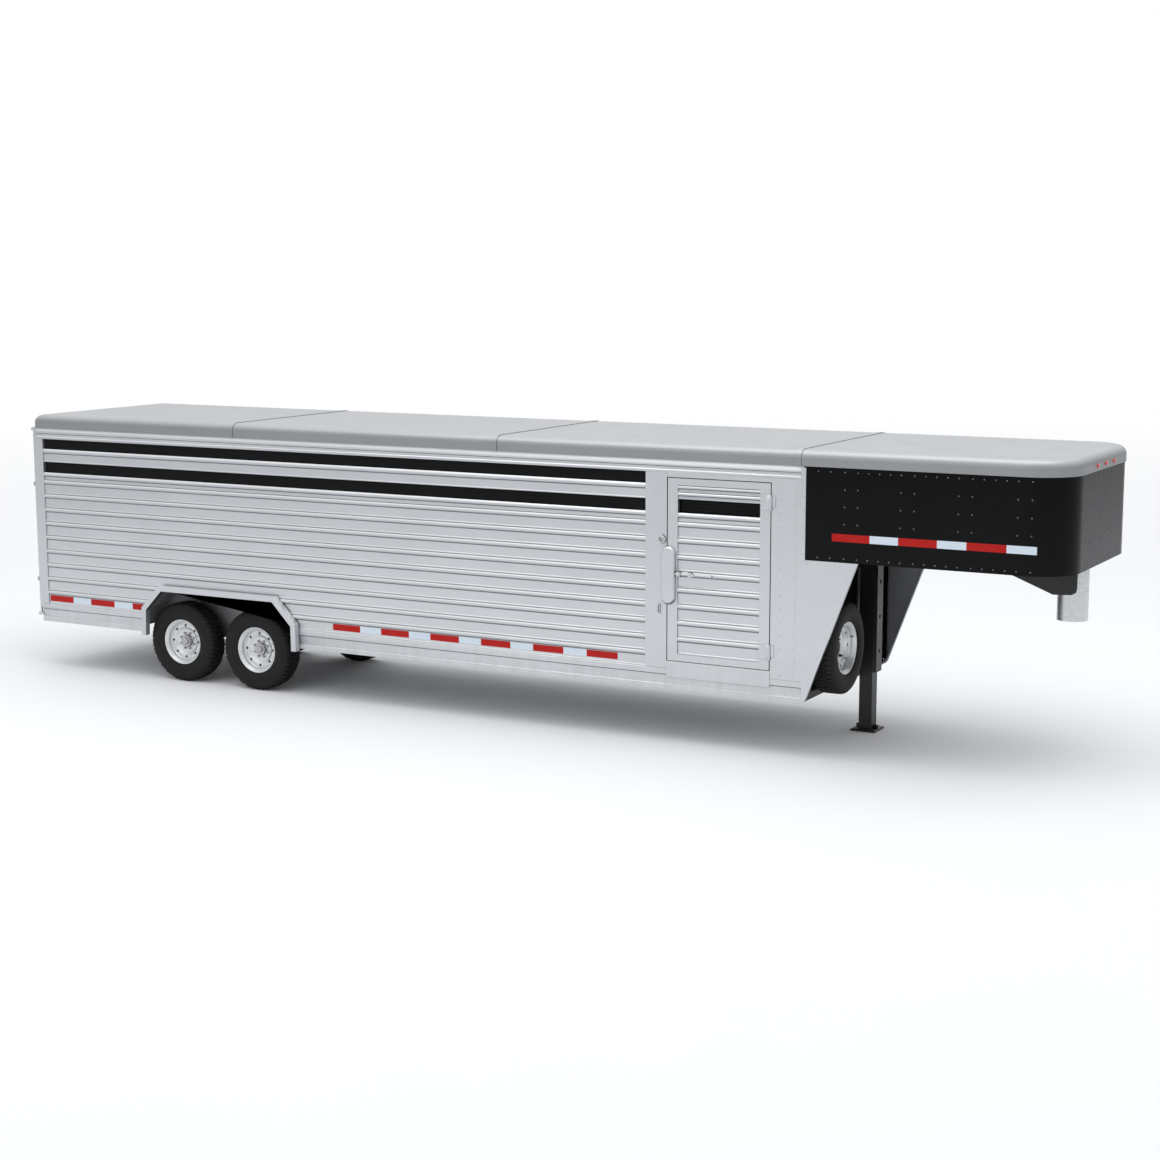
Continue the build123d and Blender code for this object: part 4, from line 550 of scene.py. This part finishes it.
def hand_hole_cutter():
    """Rods that cut the hand holes through a wheel's disc, before it is stood up."""
    bm = bmesh.new()
    for i in range(HAND_HOLES):
        angle = math.tau * i / HAND_HOLES
        turn = Matrix.Rotation(math.pi / 2, 4, "X")
        shift = Matrix.Translation(on_circle(HAND_HOLE_CIRCLE, 0.02, angle))
        bmesh.ops.create_cone(bm, cap_ends=True, segments=28, radius1=0.0135, radius2=0.0135, depth=0.12,
                              matrix=shift @ turn)
    mesh = bpy.data.meshes.new("hand_holes")
    bm.to_mesh(mesh)
    bm.free()
    return mesh


def drilled_rim_mesh():
    """The wheel with its hand holes cut."""
    blank = bpy.data.objects.new("rim_blank", rim_mesh())
    cutter = bpy.data.objects.new("hand_holes", hand_hole_cutter())
    for made in (blank, cutter):
        bpy.context.scene.collection.objects.link(made)
    cut = blank.modifiers.new("holes", "BOOLEAN")
    cut.object = cutter
    cut.operation = "DIFFERENCE"
    cut.solver = "EXACT"
    bpy.context.view_layer.update()
    shaped = blank.evaluated_get(bpy.context.evaluated_depsgraph_get())
    mesh = bpy.data.meshes.new_from_object(shaped)
    for made in (blank, cutter):
        bpy.data.objects.remove(made)
    shade(mesh, 30.0)
    return mesh


def valve(bm):
    """A rubber valve stem with its cap, near the rim's edge."""
    foot = Matrix.Translation(on_circle(0.196, 0.052, math.radians(22.0)))
    lean = foot @ Matrix.Rotation(math.pi / 2, 4, "X")
    for depth, radius in ((0.036, 0.0055), (0.014, 0.0070)):
        shift = Matrix.Translation((0.0, 0.0, 0.018 if radius > 0.006 else 0.0))
        bmesh.ops.create_cone(bm, cap_ends=True, segments=14, radius1=radius, radius2=0.85 * radius,
                              depth=depth, matrix=lean @ shift)


def middle_of(node):
    low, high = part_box(node)
    return (low + high) / 2


def dress_wheel(corner, tyre, rim, stem):
    """Puts a detailed tyre, rim and valve where the CAD ones are."""
    if corner == "spare":
        body, names = "trailer", ("spare_tyre", "spare_rim")
        turn = Matrix.Rotation(math.radians(90.0), 4, "Z")
    else:
        body, names = "wheel_" + corner, ("tyre_" + corner, "rim_" + corner)
        turn = Matrix.Rotation(math.pi if corner.endswith("left") else 0.0, 4, "Z")
    stand = Matrix.Translation(middle_of(names[0])) @ turn
    for node, mesh, slot in ((names[0], tyre, "tyre_rubber"), (names[1], rim, "wheel_silver")):
        made = bpy.data.objects.new(node + "_detailed", mesh)
        bpy.context.scene.collection.objects.link(made)
        made.matrix_world = stand
        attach(made, body)
        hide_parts(node)
    made = bpy.data.objects.new("valve_" + corner, stem)
    bpy.context.scene.collection.objects.link(made)
    made.matrix_world = stand
    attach(made, body)


CORNERS = ("rear_right", "front_right", "rear_left", "front_left")


def dress_wheels():
    low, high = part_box("tyre_rear_right")
    tyre = tyre_mesh((high.z - low.z) / 2, high.y - low.y)
    tyre.materials.append(FINISHES["tyre_rubber"])
    rim = drilled_rim_mesh()
    rim.materials.clear()
    rim.materials.append(FINISHES["wheel_silver"])
    bm = bmesh.new()
    valve(bm)
    stem = mesh_from(bm, "valve")
    stem.materials.append(FINISHES["tyre_rubber"])
    for corner in CORNERS + ("spare",):
        dress_wheel(corner, tyre, rim, stem)


# ---- black vent panels as painted shade, and rail domes ------------------------------------------
PANEL_LAP = 0.008         # how far a panel tucks in behind the slats above and below it
PANEL_RIBS = 4
PANEL_SKIN = 0.0025
RIB_RISE = 0.0035


def panel_outline(low, high):
    """A thin ribbed section as (height, depth), all the way round; depth grows inwards."""
    outline = []
    pitch = (high - low) / PANEL_RIBS
    for i in range(PANEL_RIBS):
        foot = low + i * pitch
        outline += [(foot, 0.0), (foot + 0.30 * pitch, 0.0)]
        for step in range(1, 6):
            turn = math.pi * step / 6
            outline.append((foot + pitch * (0.5 - 0.18 * math.cos(turn)), -RIB_RISE * math.sin(turn)))
        outline.append((foot + 0.70 * pitch, 0.0))
    return outline + [(high, 0.0), (high, PANEL_SKIN), (low, PANEL_SKIN)]


def vent_shade_panel(name, low, high, body):
    """A ribbed black panel behind the slats that fills a vent as painted shade, standing in for the dark
    inside the body.
    """
    inwards = 1 if low.y < 0 else -1
    outer = min(abs(low.y), abs(high.y)) + 0.012
    bm = bmesh.new()
    ends = []
    for x in (low.x, high.x):
        outline = panel_outline(low.z - PANEL_LAP, high.z + PANEL_LAP)
        ends.append([bm.verts.new((x, inwards * (depth - outer), z)) for z, depth in outline])
    count = len(ends[0])
    for i in range(count):
        k = (i + 1) % count
        bm.faces.new((ends[0][i], ends[0][k], ends[1][k], ends[1][i]))
    for end in ends:
        bm.faces.new(end)
    bmesh.ops.recalc_face_normals(bm, faces=bm.faces)
    made = piece(name + "_panel", mesh_from(bm, name + "_panel"), body, "black_steel")
    made.data.materials[0] = VENT_SHADE_BLACK


def vent_shade_panels():
    bodies = {"right_upper_vent": "trailer", "right_lower_vent": "trailer", "left_upper_vent": "trailer",
              "left_lower_vent": "trailer", "door_vent": "side_door"}
    # every side vent and the door vent is filled with a black panel as painted shade
    for opening in frame["record"]["physics"]["openings"]:
        if opening["name"] in bodies:
            low, high = (Vector(corner) for corner in opening["box_m"])
            vent_shade_panel(opening["name"], low, high, bodies[opening["name"]])


DOME_RADIUS = 0.0058
DOME_RISE = 0.0032
DOME_PITCH = 0.021
DOME = ((1.0, 0.0), (0.92, 0.42), (0.68, 0.78), (0.34, 0.96))      # shares of the radius and the rise


def dome(bm, x, y, z, outwards):
    """One pressed dome on a wall that looks along Y."""
    rings = []
    for share, rise in DOME:
        rings.append([bm.verts.new((x + share * DOME_RADIUS * math.cos(a), y + outwards * rise * DOME_RISE,
                                    z + share * DOME_RADIUS * math.sin(a)))
                      for a in (math.tau * i / 12 for i in range(12))])
    for ring, following in zip(rings, rings[1:]):
        for i in range(12):
            k = (i + 1) % 12
            bm.faces.new((ring[i], ring[k], following[k], following[i]))
    bm.faces.new(rings[-1])


def rail_domes():
    """Staggered rows of pressed domes on the top rails, from above the side door to the nose."""
    low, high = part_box("top_rails")
    door_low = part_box("door_frame")[0]
    face = high.y - 0.0065
    bottom = low.z + 0.034
    bm = bmesh.new()
    for side in (-1, 1):
        x = door_low.x - 0.08
        while x < high.x - 0.03:
            for level in (0.0, 0.0125):
                dome(bm, x + (0.5 * DOME_PITCH if level else 0.0), side * face, bottom + level, side)
            x += DOME_PITCH
    bmesh.ops.recalc_face_normals(bm, faces=bm.faces)
    piece("rail_domes", mesh_from(bm, "rail_domes", 60.0), "trailer", "aluminium_body")


# ---- stage ---------------------------------------------------------------------------------------
CAMERA_POINT = (9.892, -16.914, 4.225)
CAMERA_TURN = (81.14, 0.12, 29.03)      # degrees about X, Y and Z
LENS = 63.93                            # mm on a 36 mm frame


def set_camera():
    lens = bpy.data.cameras.new("camera")
    lens.lens = LENS
    lens.sensor_width = 36.0
    lens.clip_end = 500.0
    camera = bpy.data.objects.new("camera", lens)
    bpy.context.scene.collection.objects.link(camera)
    camera.location = CAMERA_POINT
    camera.rotation_euler = [math.radians(a) for a in CAMERA_TURN]
    bpy.context.scene.camera = camera


def softbox(name, point, size, power, tint=(1.0, 1.0, 1.0), aim=(0.0, 0.0, 1.2)):
    lamp = bpy.data.lights.new(name, "AREA")
    lamp.shape = "RECTANGLE"
    lamp.size, lamp.size_y = size
    lamp.energy = power
    lamp.color = tint
    made = bpy.data.objects.new(name, lamp)
    bpy.context.scene.collection.objects.link(made)
    made.location = point
    made.rotation_euler = (Vector(aim) - Vector(point)).to_track_quat("-Z", "Y").to_euler()
    made.visible_camera = False
    return made


SKY = ((0.50, 0.42), (0.56, 0.62), (0.75, 0.95), (1.0, 1.05))    # brightness up from the horizon at 0.5


def set_world():
    """A pale studio: bright overhead, a little darker towards the horizon, and white to look at."""
    world = bpy.data.worlds.new("studio")
    world.use_nodes = True
    tree = world.node_tree
    background = tree.nodes["Background"]
    place = tree.nodes.new("ShaderNodeTexCoord")
    split = tree.nodes.new("ShaderNodeSeparateXYZ")
    rise = tree.nodes.new("ShaderNodeMath")
    ramp = tree.nodes.new("ShaderNodeValToRGB")
    rays = tree.nodes.new("ShaderNodeLightPath")
    mix = tree.nodes.new("ShaderNodeMix")
    mix.data_type = "RGBA"
    rise.operation = "MULTIPLY_ADD"
    rise.inputs[1].default_value = rise.inputs[2].default_value = 0.5
    for element, (position, bright) in zip(ramp.color_ramp.elements, (SKY[0], SKY[-1])):
        element.position, element.color = position, (0.97 * bright, 0.985 * bright, bright, 1.0)
    for position, bright in SKY[1:-1]:
        ramp.color_ramp.elements.new(position).color = (0.97 * bright, 0.985 * bright, bright, 1.0)
    mix.inputs[7].default_value = (1.0, 1.0, 1.0, 1.0)
    tree.links.new(place.outputs["Generated"], split.inputs[0])
    tree.links.new(split.outputs[2], rise.inputs[0])
    tree.links.new(rise.outputs[0], ramp.inputs[0])
    tree.links.new(rays.outputs["Is Camera Ray"], mix.inputs[0])
    tree.links.new(ramp.outputs[0], mix.inputs[6])
    tree.links.new(mix.outputs[2], background.inputs[0])
    bpy.context.scene.world = world


FLOOR_RADIUS = 40.0


def set_floor():
    """A plain pale floor that fades out far from the trailer."""
    bm = bmesh.new()
    bmesh.ops.create_circle(bm, cap_ends=True, radius=FLOOR_RADIUS, segments=96)
    mesh = bpy.data.meshes.new("floor")
    bm.to_mesh(mesh)
    bm.free()
    floor = bpy.data.objects.new("floor", mesh)
    bpy.context.scene.collection.objects.link(floor)
    f = Finish("pale_floor", IOR=1.3)
    clouds = f.noise(0.7, 3.0)
    tone = f.mix(clouds, colour(0.93, 0.935, 0.95), colour(0.95, 0.955, 0.965))
    away = f.node("ShaderNodeVectorMath", {"operation": "LENGTH"}, {0: f.place()}, output=1)
    cover = f.ramp(away * (1.0 / FLOOR_RADIUS), (0.25, 1.0), (0.9, 0.0))
    mesh.materials.append(f.feed(Base_Color=tone, Roughness=0.75 + clouds * 0.1, Alpha=cover))


# ---- the object ----------------------------------------------------------------------------------
finish_cad_nodes()
dress_wheels()
vent_shade_panels()
rail_domes()
for node in EASED:
    soften(node, EASED[node])

set_floor()
set_world()
softbox("overhead", (1.0, -2.0, 11.0), (16.0, 7.0), 380.0)
softbox("near_side", (-4.0, -18.0, 9.0), (9.0, 5.0), 110.0)
set_camera()
bpy.context.scene.view_settings.view_transform = "Standard"
